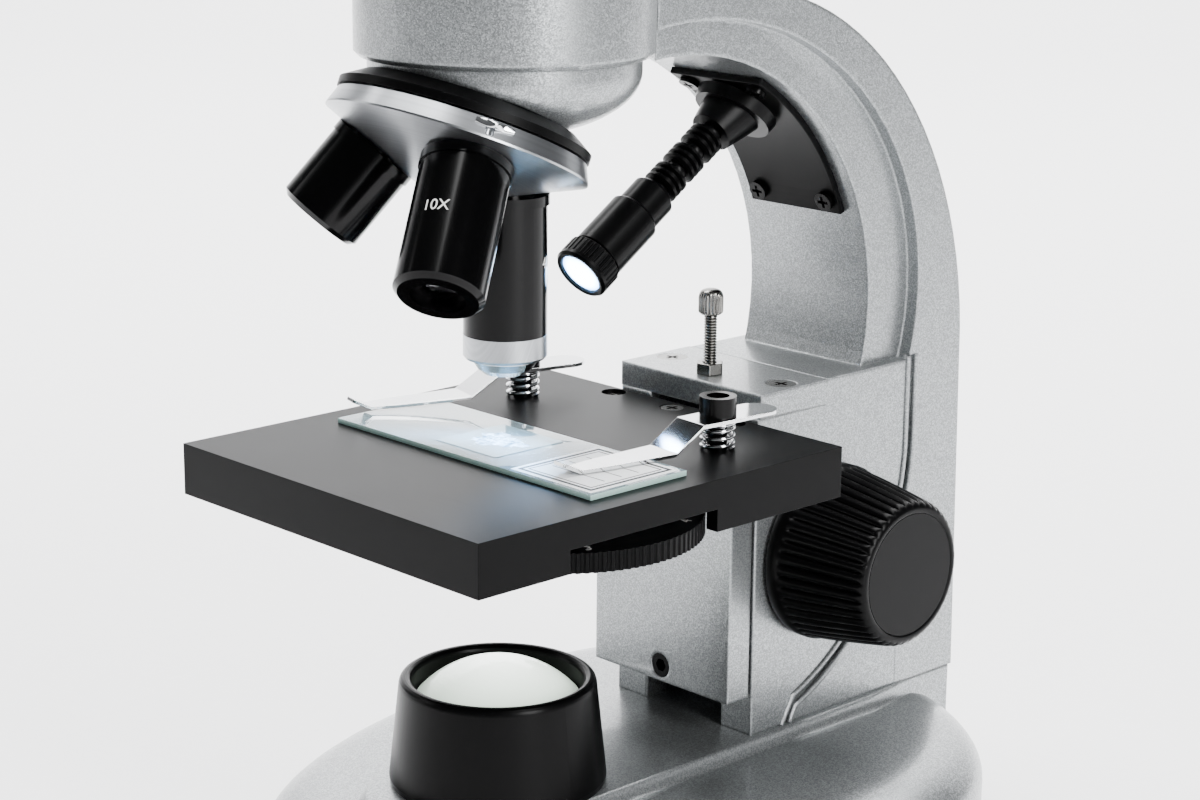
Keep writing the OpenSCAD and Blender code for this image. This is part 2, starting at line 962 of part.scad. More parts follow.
// One ribbed length of gooseneck between two ball joints, with its ball at the top
module neck_link(along)
  lamp_frame(along)
    difference() {
      union() {
        sphere(r = ball_r, $fn = 48);
        rotate_extrude()
          polygon(concat(
            [[0, -1], [1.9, -1], [1.9, -1.25]],
            [for (i = [0:2])
              for (p = [[neck_r - 0.75, 0], [neck_r, 0.35], [neck_r, 0.95],
                        [neck_r - 0.75, 1.3]])
                [p[0], -1.3 - i * 1.62 - p[1]]],
            [[0, -neck_step]]));
      }
      translate([0, 0, -neck_step])
        sphere(r = ball_r + run_gap, $fn = 48);
    }

module gooseneck_1()
  color(black)
    neck_link(neck_end);

module gooseneck_2()
  color(black)
    neck_link(neck_end - neck_step);

module gooseneck_3()
  color(black)
    neck_link(neck_end - 2 * neck_step);

module lamp_body()
  color(black)
    lamp_frame() {
      translate([0, 0, neck_start])
        sphere(r = ball_r, $fn = 48);
      rotate_extrude()
        polygon([[0, 5.2], [lamp_r - 0.3, 5.2], [lamp_r, 5.5], [lamp_r, 17.9],
                 [lamp_r - 0.5, 18.5], [lamp_r - 0.8, 18.6], [lamp_r - 0.8, 24.6],
                 [lamp_r - 1.4, 25.3], [2, 25.3], [1.6, neck_start - 0.9],
                 [0, neck_start - 0.9]]);
      round_bar(4.6, 2.4, 5.3);
    }

module lamp_bezel()
  color(black)
    lamp_frame()
      difference() {
        rotate_extrude()
          polygon([[4.85, -0.2], [5.6, -0.4], [6.1, 0.2], [6.1, 4.6], [5.7, 5],
                   [4.65, 5], [4.65, 2], [5, 1.8]]);
        for (a = [0:12:348])
          rotate([0, 0, a])
            translate([6.25, 0, 0])
              round_bar(0.4, 0.9, 6, $fn = 16);
      }

module lamp_lens()
  color([0.9, 0.95, 1, 0.8])
    lamp_frame()
      rotate_extrude()
        polygon([[0, -0.5], [3, -0.3], [4.6, 0.2], [4.6, 2.2], [0, 2.2]]);

// ---- head ----

module head_drum()
  color(silver)
    optical()
      difference() {
        union() {
          translate([0, 0, drum_z])
            cylinder(r1 = drum_r - 1, r2 = drum_r, h = 1);
          round_bar(drum_r, drum_z + 1, head_z - 1);
          translate([0, 0, head_z - 1])
            cylinder(r1 = drum_r, r2 = drum_r - 1, h = 1);
        }
        round_bar(12, drum_z - 1, head_z + 1);
        round_bar(spigot_r + run_gap, head_z - 12, head_z + 1);
        translate([0, 0, lock_z])
          cross_bar(2, -40, -10);
      }

module head_bowl()
  color(silver)
    difference() {
      optical()
        rotate_extrude()
          polygon(concat(
            [[6, drum_z], [26.6, drum_z], [26.6, drum_z - 2.6]],
            arc([0, drum_z - 3], [26.6, 12.6], 0, -76, 16),
            [[6, drum_z - 15.4]]));
      nose()
        translate([-60, -60, -ring_top_s - 40])
          cube([120, 120, 40]);
    }

module nosepiece_ring()
  color(black)
    difference() {
      nose()
        rotate_extrude()
          polygon([[2.6, -ring_s], [25.2, -ring_s], [25.2, -ring_s + 1.6],
                   [21.4, -ring_top_s], [2.6, -ring_top_s]]);
      optical()
        round_bar(6, 150, 190);
    }

module turret()
  color(steel)
    difference() {
      nose()
        rotate_extrude()
          polygon([[2.65, -turret_top_s], [24.9, -turret_top_s],
                   [turret_r, -turret_s + 0.4], [turret_r, -turret_s],
                   [6.4, -turret_s - (turret_r - 6.4) * tan(nose_tilt)],
                   [2.65, -turret_s - (turret_r - 6.4) * tan(nose_tilt)]]);
      for (place = [0:2])
        objective_frame(place)
          round_bar(shank_r + 0.1, -seat_l - 5, -20);
      nose()
        for (place = [0:2])
          rotate([0, 0, place * 120 + 90])
            translate([turret_r - 0.4, 0, -30])
              cylinder(r = 0.9, h = 4, $fn = 16);
    }

module turret_screw()
{
  face = turret_s + (turret_r - 6.4) * tan(nose_tilt);
  color(steel)
    nose()
      difference() {
        union() {
          round_bar(5, -face - 1.8, -face - 0.1);
          round_bar(2.6, -face - 0.5, -ring_top_s - 0.5);
        }
        translate([-4, -0.6, -face - 3])
          cube([8, 1.2, 2.1]);
      }
}

module click_spring()
  color(steel)
    nose()
      rotate([0, 0, click_turn])
        difference() {
          union() {
            translate([-2.2, turret_r + free_gap, -ring_s - 2.6])
              cube([4.4, 0.5, 3.6]);
            translate([-1.6, 24, -ring_s])
              cube([3.2, turret_r + free_gap - 23.9, 1]);
          }
          round_bar(25.25, -ring_s - 5, -ring_s + 5);
        }

// A barrel with a collar under the turret and a recessed front lens
module objective(length)
  difference() {
    union() {
      round_bar(shank_r, -seat_l, -seat_l + 4.5);
      round_bar(objective_r + 0.3, -seat_l - 2, -seat_l);
      round_bar(objective_r, -seat_l - length + 1, -seat_l - 1.9);
      translate([0, 0, -seat_l - length])
        cylinder(r1 = objective_r - 1, r2 = objective_r, h = 1);
    }
    round_bar(5.2, -seat_l - length - 1, -seat_l - length + 2.2);
    round_bar(3.4, -seat_l - length - 1, -20);
  }

module objective_4x()
  color(black)
    objective_frame(1)
      objective(17.7);

module objective_10x()
  color(black)
    objective_frame(2)
      objective(28.3);

module objective_40x()
{
  low = ring_z + ring40_t;
  color(black)
    optical()
      difference() {
        union() {
          round_bar(shank_r, nose_apex - seat_l, nose_apex - seat_l + 4.5);
          round_bar(objective_r + 0.2, nose_apex - seat_l - 2, nose_apex - seat_l);
          round_bar(objective_r - 0.25, low, nose_apex - seat_l - 1.9);
        }
        round_bar(6.8, low - 1, low + 6);
        round_bar(3.4, low - 1, nose_apex);
      }
}

module objective_40x_ring()
  color(steel)
    optical()
      difference() {
        union() {
          translate([0, 0, ring_z])
            cylinder(r1 = objective_r - 0.7, r2 = objective_r - 0.2, h = 0.6);
          round_bar(objective_r - 0.2, ring_z + 0.6, ring_z + ring40_t);
        }
        round_bar(6.7, ring_z - 1, ring_z + ring40_t + 1);
      }

module objective_40x_tip()
  color(steel)
    optical()
      rotate_extrude()
        polygon([[1.2, tip_z], [4.4, tip_z], [5.6, tip_z + 1], [6.65, ring_z - 0.4],
                 [6.65, ring_z + 5.4], [3.4, ring_z + 5.4], [3.4, tip_z + 2],
                 [1.2, tip_z + 1]]);

module head_body()
  color(silver)
    difference() {
      union() {
        optical() {
          round_bar(spigot_r, head_z - 11.8, head_z + 0.2);
          round_bar(24.5, head_z + 0.2, head_z + 6);
          translate([0, 0, head_z + 6])
            cylinder(r1 = 23.6, r2 = 18.4, h = tube_z - head_z - 6);
          translate([0, 0, tube_z])
            sphere(r = 18.4);
        }
        tube_frame()
          cylinder(r1 = 18, r2 = tube_r + 1.8, h = 19);
      }
      optical()
        round_bar(10, head_z - 13, tube_z);
      tube_frame()
        round_bar(10, -6, 30);
      tube_frame()
        round_bar(tube_r - 1.5, 15, 30);
      translate([0, axis_y, tube_z])
        cube([15, 15, 15], center = true);
    }

module prism()
  color([0.85, 0.92, 0.95, 0.6])
    optical()
      translate([0, 0, tube_z])
        difference() {
          cube([14.6, 14.6, 14.6], center = true);
          rotate([tube_tilt / 2, 0, 0])
            translate([-10, 0.5, -20])
              cube([20, 40, 40]);
        }

module head_screw()
  color(black)
    optical()
      translate([0, 0, lock_z]) {
        cross_bar(1.95, -drum_r - 1, -spigot_r - free_gap);
        difference() {
          cross_bar(5, -drum_r - 8, -drum_r - 0.6);
          for (a = [0:20:340])
            rotate([a, 0, 0])
              translate([0, 0, 5.2])
                cross_bar(0.5, -drum_r - 9, -drum_r, $fn = 16);
        }
      }

module eyepiece_tube()
  color(black)
    tube_frame()
      difference() {
        union() {
          round_bar(tube_r - 1.5, 15, 20);
          round_bar(tube_r, 19, tube_l);
        }
        round_bar(eyepiece_r, 14, tube_l + 1);
      }

module eyepiece()
  color(black)
    tube_frame()
      difference() {
        union() {
          round_bar(eyepiece_r - run_gap, tube_l - 24, tube_l + 1);
          round_bar(tube_r + 0.6, tube_l + 0.1, tube_l + 9);
          translate([0, 0, tube_l + 9])
            cylinder(r1 = tube_r + 0.6, r2 = tube_r - 1.6, h = 6);
          round_bar(tube_r - 0.4, tube_l + 14, tube_l + 20);
        }
        round_bar(9.5, tube_l - 25, tube_l + 13);
        round_bar(8.2, tube_l + 12, tube_l + 21);
        translate([0, 0, tube_l + 17])
          cylinder(r1 = 8.2, r2 = 11.8, h = 3.2);
      }

module eyepiece_lens()
  color([0.8, 0.85, 0.95, 0.5])
    tube_frame()
      rotate_extrude()
        polygon(concat(
          [[0, tube_l + 13.4], [8, tube_l + 13.4], [8, tube_l + 15]],
          [for (i = [1:8])
            let (a = 20 * (1 - i / 8))
              [8 * sin(a) / sin(20), tube_l + 15 + 23.4 * (cos(a) - cos(20))]]));

base_casting();
base_plate();
base_screws();
rubber_feet();
battery_door();
batteries();
column_screws();
switch_frame();
switch_rocker();
illuminator_housing();
illuminator_lens();
illuminator_board();
arm_casting();
cover_plate();
cover_screws();
stop_screw();
stop_nut();
focus_block();
rack();
block_screw();
pinion_shaft();
shaft_bushes();
knob_right();
knob_left();
knob_caps();
stage_plate();
stage_screws();
diaphragm_disc();
disc_screw();
clip_posts();
clip_springs();
clip_left();
clip_right();
specimen_slide();
lamp_plate();
lamp_plate_screws();
lamp_socket();
gooseneck_1();
gooseneck_2();
gooseneck_3();
lamp_body();
lamp_bezel();
lamp_lens();
head_drum();
head_bowl();
nosepiece_ring();
turret();
turret_screw();
click_spring();
objective_4x();
objective_10x();
objective_40x();
objective_40x_ring();
objective_40x_tip();
head_body();
head_screw();
eyepiece_tube();
eyepiece();
eyepiece_lens();
prism();
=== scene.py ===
import json
import math
import bmesh
import bpy
from mathutils import Matrix, Vector


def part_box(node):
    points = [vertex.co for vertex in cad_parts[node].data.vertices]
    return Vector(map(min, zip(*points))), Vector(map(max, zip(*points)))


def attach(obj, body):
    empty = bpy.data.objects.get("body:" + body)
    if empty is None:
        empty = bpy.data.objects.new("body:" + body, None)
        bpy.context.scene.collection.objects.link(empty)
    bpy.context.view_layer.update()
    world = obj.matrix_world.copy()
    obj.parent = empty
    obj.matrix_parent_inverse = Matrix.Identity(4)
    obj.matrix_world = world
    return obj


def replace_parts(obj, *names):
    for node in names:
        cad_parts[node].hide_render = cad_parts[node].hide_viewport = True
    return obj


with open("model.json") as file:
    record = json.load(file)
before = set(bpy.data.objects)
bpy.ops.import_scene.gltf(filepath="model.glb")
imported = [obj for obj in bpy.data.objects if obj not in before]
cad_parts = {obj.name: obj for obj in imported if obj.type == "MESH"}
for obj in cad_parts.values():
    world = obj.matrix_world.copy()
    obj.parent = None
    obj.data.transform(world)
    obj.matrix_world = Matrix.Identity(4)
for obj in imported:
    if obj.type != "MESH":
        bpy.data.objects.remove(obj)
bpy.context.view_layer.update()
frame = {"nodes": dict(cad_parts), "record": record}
mm = 0.001

# where things are, read from the frame
axis = Vector(((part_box("objective_40x")[0].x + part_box("objective_40x")[1].x) / 2,
               (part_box("objective_40x")[0].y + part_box("objective_40x")[1].y) / 2, 0))
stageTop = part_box("stage_plate")[1].z
knobCentre = (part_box("knob_right")[0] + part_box("knob_right")[1]) / 2
turretAxis = {"tilt": 23.6, "apex": 192.0}  # degrees from upright, mm above the table


# frame of the tilted turret, or of one objective that stands upright at its turn
def turretFrame(turn=None):
    base = (Matrix.Translation((axis.x, axis.y, turretAxis["apex"] * mm))
            @ Matrix.Rotation(math.radians(-turretAxis["tilt"]), 4, "X"))
    if turn is None:
        return base
    return (base @ Matrix.Rotation(math.radians(turn), 4, "Z")
            @ Matrix.Rotation(math.radians(turretAxis["tilt"]), 4, "X"))


def node(tree, kind, inputs=None, **settings):
    made = tree.nodes.new(kind)
    for key, value in settings.items():
        setattr(made, key, value)
    for key, value in (inputs or {}).items():
        if isinstance(value, bpy.types.NodeSocket):
            tree.links.new(value, made.inputs[key])
        else:
            made.inputs[key].default_value = value
    return made


# an empty node group with named sockets, its input node and its output node
def group(name, ins, outs):
    tree = bpy.data.node_groups.new(name, "ShaderNodeTree")
    for label, kind, value in ins:
        made = tree.interface.new_socket(label, in_out="INPUT", socket_type=kind)
        made.default_value = value
    for label, kind in outs:
        tree.interface.new_socket(label, in_out="OUTPUT", socket_type=kind)
    return tree, tree.nodes.new("NodeGroupInput"), tree.nodes.new("NodeGroupOutput")


def ramp(tree, value, low, high, fromValue=0.0, toValue=1.0):
    made = node(tree, "ShaderNodeMapRange", {"Value": value, "From Min": low, "From Max": high,
                                             "To Min": fromValue, "To Max": toValue})
    return made.outputs["Result"]


def maths(tree, operation, a, b=0.0):
    made = node(tree, "ShaderNodeMath", {0: a, 1: b}, operation=operation)
    return made.outputs[0]


def mixColour(tree, factor, a, b):
    made = node(tree, "ShaderNodeMix", {0: factor, 6: a, 7: b}, data_type="RGBA")
    return made.outputs[2]


def place(tree):
    return node(tree, "ShaderNodeTexCoord").outputs["Object"]


# fine grain as a bump and a mask
def grainGroup():
    tree, gin, gout = group("grain", [("Scale", "NodeSocketFloat", 900.0),
                                      ("Strength", "NodeSocketFloat", 0.2),
                                      ("Depth", "NodeSocketFloat", 0.0001)],
                            [("Normal", "NodeSocketVector"), ("Mask", "NodeSocketFloat")])
    noise = node(tree, "ShaderNodeTexNoise", {"Vector": place(tree), "Scale": gin.outputs["Scale"],
                                              "Detail": 4.0, "Roughness": 0.6})
    bump = node(tree, "ShaderNodeBump", {"Strength": gin.outputs["Strength"],
                                         "Distance": gin.outputs["Depth"],
                                         "Height": noise.outputs["Fac"]})
    tree.links.new(bump.outputs["Normal"], gout.inputs["Normal"])
    tree.links.new(noise.outputs["Fac"], gout.inputs["Mask"])
    return tree


# metal flakes that tilt and brighten the lacquer
def flakeGroup():
    tree, gin, gout = group("flakes", [("Scale", "NodeSocketFloat", 2800.0),
                                       ("Edge", "NodeSocketFloat", 0.001),
                                       ("Tilt", "NodeSocketFloat", 0.25),
                                       ("Spread", "NodeSocketFloat", 0.35)],
                            [("Normal", "NodeSocketVector"), ("Brightness", "NodeSocketFloat")])
    cells = node(tree, "ShaderNodeTexVoronoi", {"Vector": place(tree),
                                                "Scale": gin.outputs["Scale"]})
    centred = node(tree, "ShaderNodeVectorMath", {0: cells.outputs["Color"], 1: (0.5, 0.5, 0.5)},
                   operation="SUBTRACT")
    tilted = node(tree, "ShaderNodeVectorMath", {0: centred.outputs[0],
                                                 "Scale": gin.outputs["Tilt"]}, operation="SCALE")
    rounded = node(tree, "ShaderNodeBevel", {"Radius": gin.outputs["Edge"]}, samples=6)
    added = node(tree, "ShaderNodeVectorMath", {0: rounded.outputs[0], 1: tilted.outputs[0]},
                 operation="ADD")
    unit = node(tree, "ShaderNodeVectorMath", {0: added.outputs[0]}, operation="NORMALIZE")
    single = node(tree, "ShaderNodeSeparateColor", {"Color": cells.outputs["Color"]})
    bright = node(tree, "ShaderNodeMath", {0: single.outputs["Green"], 1: gin.outputs["Spread"],
                                           2: 1.0}, operation="MULTIPLY_ADD")
    tree.links.new(unit.outputs[0], gout.inputs["Normal"])
    tree.links.new(bright.outputs[0], gout.inputs["Brightness"])
    return tree


# painted edge highlight: edges found with rounded normals and broken up by noise
def paintedEdgeHighlightGroup():
    tree, gin, gout = group("paintedEdgeHighlight", [("Amount", "NodeSocketFloat", 0.5),
                                         ("Scale", "NodeSocketFloat", 300.0)],
                            [("Mask", "NodeSocketFloat")])
    rounded = node(tree, "ShaderNodeBevel", {"Radius": 0.35 * mm}, samples=4)
    normal = node(tree, "ShaderNodeNewGeometry").outputs["Normal"]
    same = node(tree, "ShaderNodeVectorMath", {0: rounded.outputs[0], 1: normal},
                operation="DOT_PRODUCT")
    edge = ramp(tree, same.outputs["Value"], 0.995, 0.88)
    noise = node(tree, "ShaderNodeTexNoise", {"Vector": place(tree), "Scale": gin.outputs["Scale"],
                                              "Detail": 5.0})
    broken = ramp(tree, noise.outputs["Fac"], 0.35, 0.65)
    mask = maths(tree, "MULTIPLY", maths(tree, "MULTIPLY", edge, broken), gin.outputs["Amount"])
    tree.links.new(mask, gout.inputs["Mask"])
    return tree


# fine scratches and hazy patches in a gloss surface
def hazeGroup():
    tree, gin, gout = group("haze", [("Base", "NodeSocketFloat", 0.2),
                                     ("Patches", "NodeSocketFloat", 0.1),
                                     ("Scratches", "NodeSocketFloat", 0.1)],
                            [("Roughness", "NodeSocketFloat"), ("Scratch", "NodeSocketFloat")])
    where = place(tree)
    patches = node(tree, "ShaderNodeTexNoise", {"Vector": where, "Scale": 60.0, "Detail": 3.0})
    stretch = node(tree, "ShaderNodeMapping", {"Vector": where, "Rotation": (0.4, 0.9, 0.7),
                                               "Scale": (40.0, 2600.0, 40.0)})
    lines = node(tree, "ShaderNodeTexNoise", {"Vector": stretch.outputs[0], "Scale": 1.0,
                                              "Detail": 2.0})
    scratch = ramp(tree, lines.outputs["Fac"], 0.66, 0.74)
    first = node(tree, "ShaderNodeMath", {0: patches.outputs["Fac"], 1: gin.outputs["Patches"],
                                          2: gin.outputs["Base"]}, operation="MULTIPLY_ADD")
    total = node(tree, "ShaderNodeMath", {0: scratch, 1: gin.outputs["Scratches"],
                                          2: first.outputs[0]}, operation="MULTIPLY_ADD")
    tree.links.new(total.outputs[0], gout.inputs["Roughness"])
    tree.links.new(scratch, gout.inputs["Scratch"])
    return tree


groups = {"grain": grainGroup(), "flakes": flakeGroup(), "painted_edge_highlight": paintedEdgeHighlightGroup(), "haze": hazeGroup()}


def use(tree, name, **inputs):
    made = tree.nodes.new("ShaderNodeGroup")
    made.node_tree = groups[name]
    for key, value in inputs.items():
        made.inputs[key].default_value = value
    return made


def material(name, **principled):
    mat = bpy.data.materials.new(name)
    mat.use_nodes = True
    tree = mat.node_tree
    shader = tree.nodes["Principled BSDF"]
    for key, value in principled.items():
        shader.inputs[key.replace("_", " ")].default_value = value
    return mat, tree, shader


def silverPaint():
    look = {"colour": (0.215, 0.226, 0.23, 1), "bright": (0.4, 0.42, 0.43, 1), "flakeScale": 4200.0}
    mat, tree, shader = material("silverPaint", Metallic=0.8, Coat_Weight=0.35,
                                 Coat_Roughness=0.1, Coat_IOR=1.5)
    flakes = use(tree, "flakes", Scale=look["flakeScale"], Tilt=0.1, Spread=0.9)
    painted_edge_highlight = use(tree, "painted_edge_highlight", Amount=0.3)
    haze = use(tree, "haze", Base=0.33, Patches=0.015, Scratches=0.02)
    amount = ramp(tree, flakes.outputs["Brightness"], 1.25, 1.9)
    colour = mixColour(tree, amount, look["colour"], look["bright"])
    # painted highlight: the edge mask mixes the paint towards a pale silver along the edges
    colour = mixColour(tree, painted_edge_highlight.outputs["Mask"], colour, (0.85, 0.86, 0.86, 1))
    tree.links.new(colour, shader.inputs["Base Color"])
    tree.links.new(flakes.outputs["Normal"], shader.inputs["Normal"])
    tree.links.new(haze.outputs["Roughness"], shader.inputs["Roughness"])
    return mat


def stageBlack():
    # the second colour is a painted edge highlight, a dark grey over the black
    look = {"colour": (0.0009, 0.0009, 0.001, 1), "paintedHighlight": (0.012, 0.012, 0.013, 1)}
    mat, tree, shader = material("stageBlack", Specular_IOR_Level=0.06)
    grain = use(tree, "grain", Scale=2600.0, Strength=0.2, Depth=0.00004)
    painted_edge_highlight = use(tree, "painted_edge_highlight", Amount=0.6)
    haze = use(tree, "haze", Base=0.36, Patches=0.02, Scratches=0.03)
    # painted highlight: the edge mask lifts the black towards dark grey along the edges
    tree.links.new(mixColour(tree, painted_edge_highlight.outputs["Mask"], look["colour"], look["paintedHighlight"]),
                   shader.inputs["Base Color"])
    tree.links.new(grain.outputs["Normal"], shader.inputs["Normal"])
    tree.links.new(haze.outputs["Roughness"], shader.inputs["Roughness"])
    return mat


def plastic(name, colour, rough, grainScale=1800.0, depth=0.00002, coat=0.0, sheen=0.3):
    mat, tree, shader = material(name, Coat_Weight=coat, Coat_Roughness=0.06,
                                 Specular_IOR_Level=sheen)
    grain = use(tree, "grain", Scale=grainScale, Strength=0.2, Depth=depth)
    haze = use(tree, "haze", Base=rough, Patches=0.03, Scratches=0.04)
    light = tuple(min(1, c * 1.4 + 0.0002) for c in colour[:3]) + (1,)
    tone = ramp(tree, grain.outputs["Mask"], 0.3, 0.8)
    tree.links.new(mixColour(tree, tone, colour, light), shader.inputs["Base Color"])
    tree.links.new(grain.outputs["Normal"], shader.inputs["Normal"])
    tree.links.new(haze.outputs["Roughness"], shader.inputs["Roughness"])
    return mat


def metal(name, colour, rough, scratches=0.15, grainScale=1200.0, depth=0.00002):
    mat, tree, shader = material(name, Metallic=1.0)
    grain = use(tree, "grain", Scale=grainScale, Strength=0.08, Depth=depth)
    haze = use(tree, "haze", Base=rough, Patches=0.05, Scratches=scratches)
    dull = tuple(c * 0.8 for c in colour[:3]) + (1,)
    tree.links.new(mixColour(tree, haze.outputs["Scratch"], colour, dull),
                   shader.inputs["Base Color"])
    tree.links.new(grain.outputs["Normal"], shader.inputs["Normal"])
    tree.links.new(haze.outputs["Roughness"], shader.inputs["Roughness"])
    return mat


# turned alloy: fine rings round the turret's own axis
def turnedAlloy():
    look = {"colour": (0.5, 0.52, 0.54, 1), "dark": (0.34, 0.35, 0.37, 1), "rings": 2600.0}
    mat, tree, shader = material("turnedAlloy", Metallic=1.0)
    local = node(tree, "ShaderNodeMapping",
                 {"Vector": place(tree), "Location": (-axis.x, -axis.y, -turretAxis["apex"] * mm)})
    turned = node(tree, "ShaderNodeVectorRotate",
                  {"Vector": local.outputs[0], "Axis": (1, 0, 0),
                   "Angle": math.radians(turretAxis["tilt"])})
    flat = node(tree, "ShaderNodeVectorMath", {0: turned.outputs[0], 1: (1, 1, 0)},
                operation="MULTIPLY")
    far = node(tree, "ShaderNodeVectorMath", {0: flat.outputs[0]}, operation="LENGTH")
    line = node(tree, "ShaderNodeTexNoise", {"W": far.outputs["Value"], "Scale": look["rings"],
                                             "Detail": 3.0}, noise_dimensions="1D")
    haze = use(tree, "haze", Base=0.28, Patches=0.02, Scratches=0.04)
    bump = node(tree, "ShaderNodeBump", {"Strength": 0.05, "Distance": 0.00002,
                                         "Height": line.outputs["Fac"]})
    tree.links.new(mixColour(tree, line.outputs["Fac"], look["dark"], look["colour"]),
                   shader.inputs["Base Color"])
    tree.links.new(bump.outputs["Normal"], shader.inputs["Normal"])
    tree.links.new(haze.outputs["Roughness"], shader.inputs["Roughness"])
    return mat


def glass(name, colour, rough=0.0, ior=1.5):
    mat, tree, shader = material(name, Base_Color=colour, Transmission_Weight=1.0, IOR=ior)
    haze = use(tree, "haze", Base=rough, Patches=0.03, Scratches=0.1)
    tree.links.new(haze.outputs["Roughness"], shader.inputs["Roughness"])
    return mat


# clear glass with a cool cast
def slideGlass():
    look = {"clear": (0.66, 0.88, 0.97, 1), "clearness": 0.74}
    mat, tree, shader = material("slideGlass", IOR=1.52, Base_Color=look["clear"],
                                 Transmission_Weight=look["clearness"])
    haze = use(tree, "haze", Base=0.02, Patches=0.03, Scratches=0.1)
    tree.links.new(haze.outputs["Roughness"], shader.inputs["Roughness"])
    return mat


# ground pale green edge of the slide
def groundEdge():
    look = {"colour": (0.42, 0.78, 0.7, 1), "light": (0.75, 0.95, 0.9, 1)}
    mat, tree, shader = material("groundEdge", Transmission_Weight=0.3, IOR=1.52)
    grain = use(tree, "grain", Scale=1500.0, Strength=0.3, Depth=0.00005)
    haze = use(tree, "haze", Base=0.3, Patches=0.1, Scratches=0.1)
    tree.links.new(mixColour(tree, grain.outputs["Mask"], look["colour"], look["light"]),
                   shader.inputs["Base Color"])
    tree.links.new(grain.outputs["Normal"], shader.inputs["Normal"])
    tree.links.new(haze.outputs["Roughness"], shader.inputs["Roughness"])
    return mat


# pale mounted tissue, thicker and thinner in cells
def tissue():
    look = {"thin": (0.04, 0.13, 0.2, 1), "thick": (0.8, 0.9, 0.95, 1)}
    mat, tree, shader = material("tissue", Specular_IOR_Level=0.12)
    cells = node(tree, "ShaderNodeTexVoronoi", {"Vector": place(tree), "Scale": 900.0},
                 feature="DISTANCE_TO_EDGE")
    grain = use(tree, "grain", Scale=500.0, Strength=0.4, Depth=0.0002)
    haze = use(tree, "haze", Base=0.5, Patches=0.2, Scratches=0.0)
    tone = maths(tree, "ADD", ramp(tree, cells.outputs["Distance"], 0.0, 0.25, 0.5, 0),
                 ramp(tree, grain.outputs["Mask"], 0.4, 0.65, 0, 0.6))
    tree.links.new(mixColour(tree, tone, look["thin"], look["thick"]),
                   shader.inputs["Base Color"])
    tree.links.new(grain.outputs["Normal"], shader.inputs["Normal"])
    tree.links.new(haze.outputs["Roughness"], shader.inputs["Roughness"])
    return mat


def lampGlow():
    look = {"middle": (0.8, 0.92, 1, 1), "rim": (0.12, 0.45, 1, 1), "strength": 14.0}
    mat, tree, shader = material("lampGlow", Transmission_Weight=0.3)
    centre = sum(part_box("lamp_lens"), Vector()) / 2
    away = node(tree, "ShaderNodeVectorMath", {0: place(tree), 1: tuple(centre)},
                operation="DISTANCE")
    rim = ramp(tree, away.outputs["Value"], 3.4 * mm, 5.2 * mm)
    haze = use(tree, "haze", Base=0.1, Patches=0.2, Scratches=0.1)
    colour = mixColour(tree, rim, look["middle"], look["rim"])
    tree.links.new(colour, shader.inputs["Base Color"])
    tree.links.new(colour, shader.inputs["Emission Color"])
    tree.links.new(haze.outputs["Roughness"], shader.inputs["Roughness"])
    tree.links.new(ramp(tree, rim, 0, 1, look["strength"], look["strength"] * 0.2),
                   shader.inputs["Emission Strength"])
    return mat


def domeGlow():
    look = {"colour": (0.9, 0.97, 0.9, 1), "edge": (0.62, 0.74, 0.62, 1), "strength": 3.8}
    mat, tree, shader = material("domeGlow", Specular_IOR_Level=0.6, Coat_Weight=0.5)
    low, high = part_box("illuminator_lens")
    centre = (low + high) / 2
    away = node(tree, "ShaderNodeVectorMath", {0: place(tree), 1: (centre.x, centre.y, high.z)},
                operation="DISTANCE")
    fall = ramp(tree, away.outputs["Value"], 3 * mm, 17 * mm)
    grain = use(tree, "grain", Scale=700.0, Strength=0.1, Depth=0.00005)
    haze = use(tree, "haze", Base=0.2, Patches=0.05, Scratches=0.05)
    tint = mixColour(tree, fall, look["colour"], look["edge"])
    tint = mixColour(tree, maths(tree, "MULTIPLY", grain.outputs["Mask"], 0.12), tint,
                     (0.7, 0.82, 0.72, 1))
    tree.links.new(tint, shader.inputs["Base Color"])
    tree.links.new(tint, shader.inputs["Emission Color"])
    tree.links.new(ramp(tree, fall, 0, 1, look["strength"], look["strength"] * 0.3),
                   shader.inputs["Emission Strength"])
    tree.links.new(grain.outputs["Normal"], shader.inputs["Normal"])
    tree.links.new(haze.outputs["Roughness"], shader.inputs["Roughness"])
    return mat


looks = {
    "silver_paint": silverPaint(),
    "stage_black": stageBlack(),
    "satin_black": plastic("satinBlack", (0.0009, 0.0009, 0.001, 1), 0.28, sheen=0.08),
    "gloss_black": plastic("glossBlack", (0.0004, 0.0004, 0.0005, 1), 0.14, 900.0, 0.000005,
                           sheen=0.16),
    "feet_rubber": plastic("feetRubber", (0.012, 0.012, 0.012, 1), 0.7, 1400.0, 0.0001),
    "chrome_trim": metal("chromeTrim", (0.82, 0.83, 0.84, 1), 0.06),
    "turret_alloy": turnedAlloy(),
    "nickel_screws": metal("nickelScrews", (0.2, 0.195, 0.185, 1), 0.22, 0.2),
    "black_screws": plastic("blackScrews", (0.001, 0.001, 0.001, 1), 0.2, 1200.0, sheen=0.12),
    "drive_steel": metal("driveSteel", (0.45, 0.45, 0.45, 1), 0.3, 0.3),
    "bush_brass": metal("bushBrass", (0.75, 0.55, 0.25, 1), 0.25, 0.3),
    "slide_glass": slideGlass(),
    "optic_glass": glass("opticGlass", (0.9, 0.92, 1, 1)),
    "lamp_lens": lampGlow(),
    "dome_lens": domeGlow(),
    "lamp_board": plastic("lampBoard", (0.02, 0.16, 0.06, 1), 0.3),
    "cell_sleeve": plastic("cellSleeve", (0.04, 0.14, 0.12, 1), 0.25, 500.0, 0.00002, 0.4),
}
paper = plastic("labelPaper", (0.82, 0.84, 0.85, 1), 0.5, 2500.0, 0.00002)
ink = plastic("labelInk", (0.006, 0.006, 0.008, 1), 0.6)
whitePrint = plastic("whitePrint", (0.6, 0.6, 0.58, 1), 0.45)

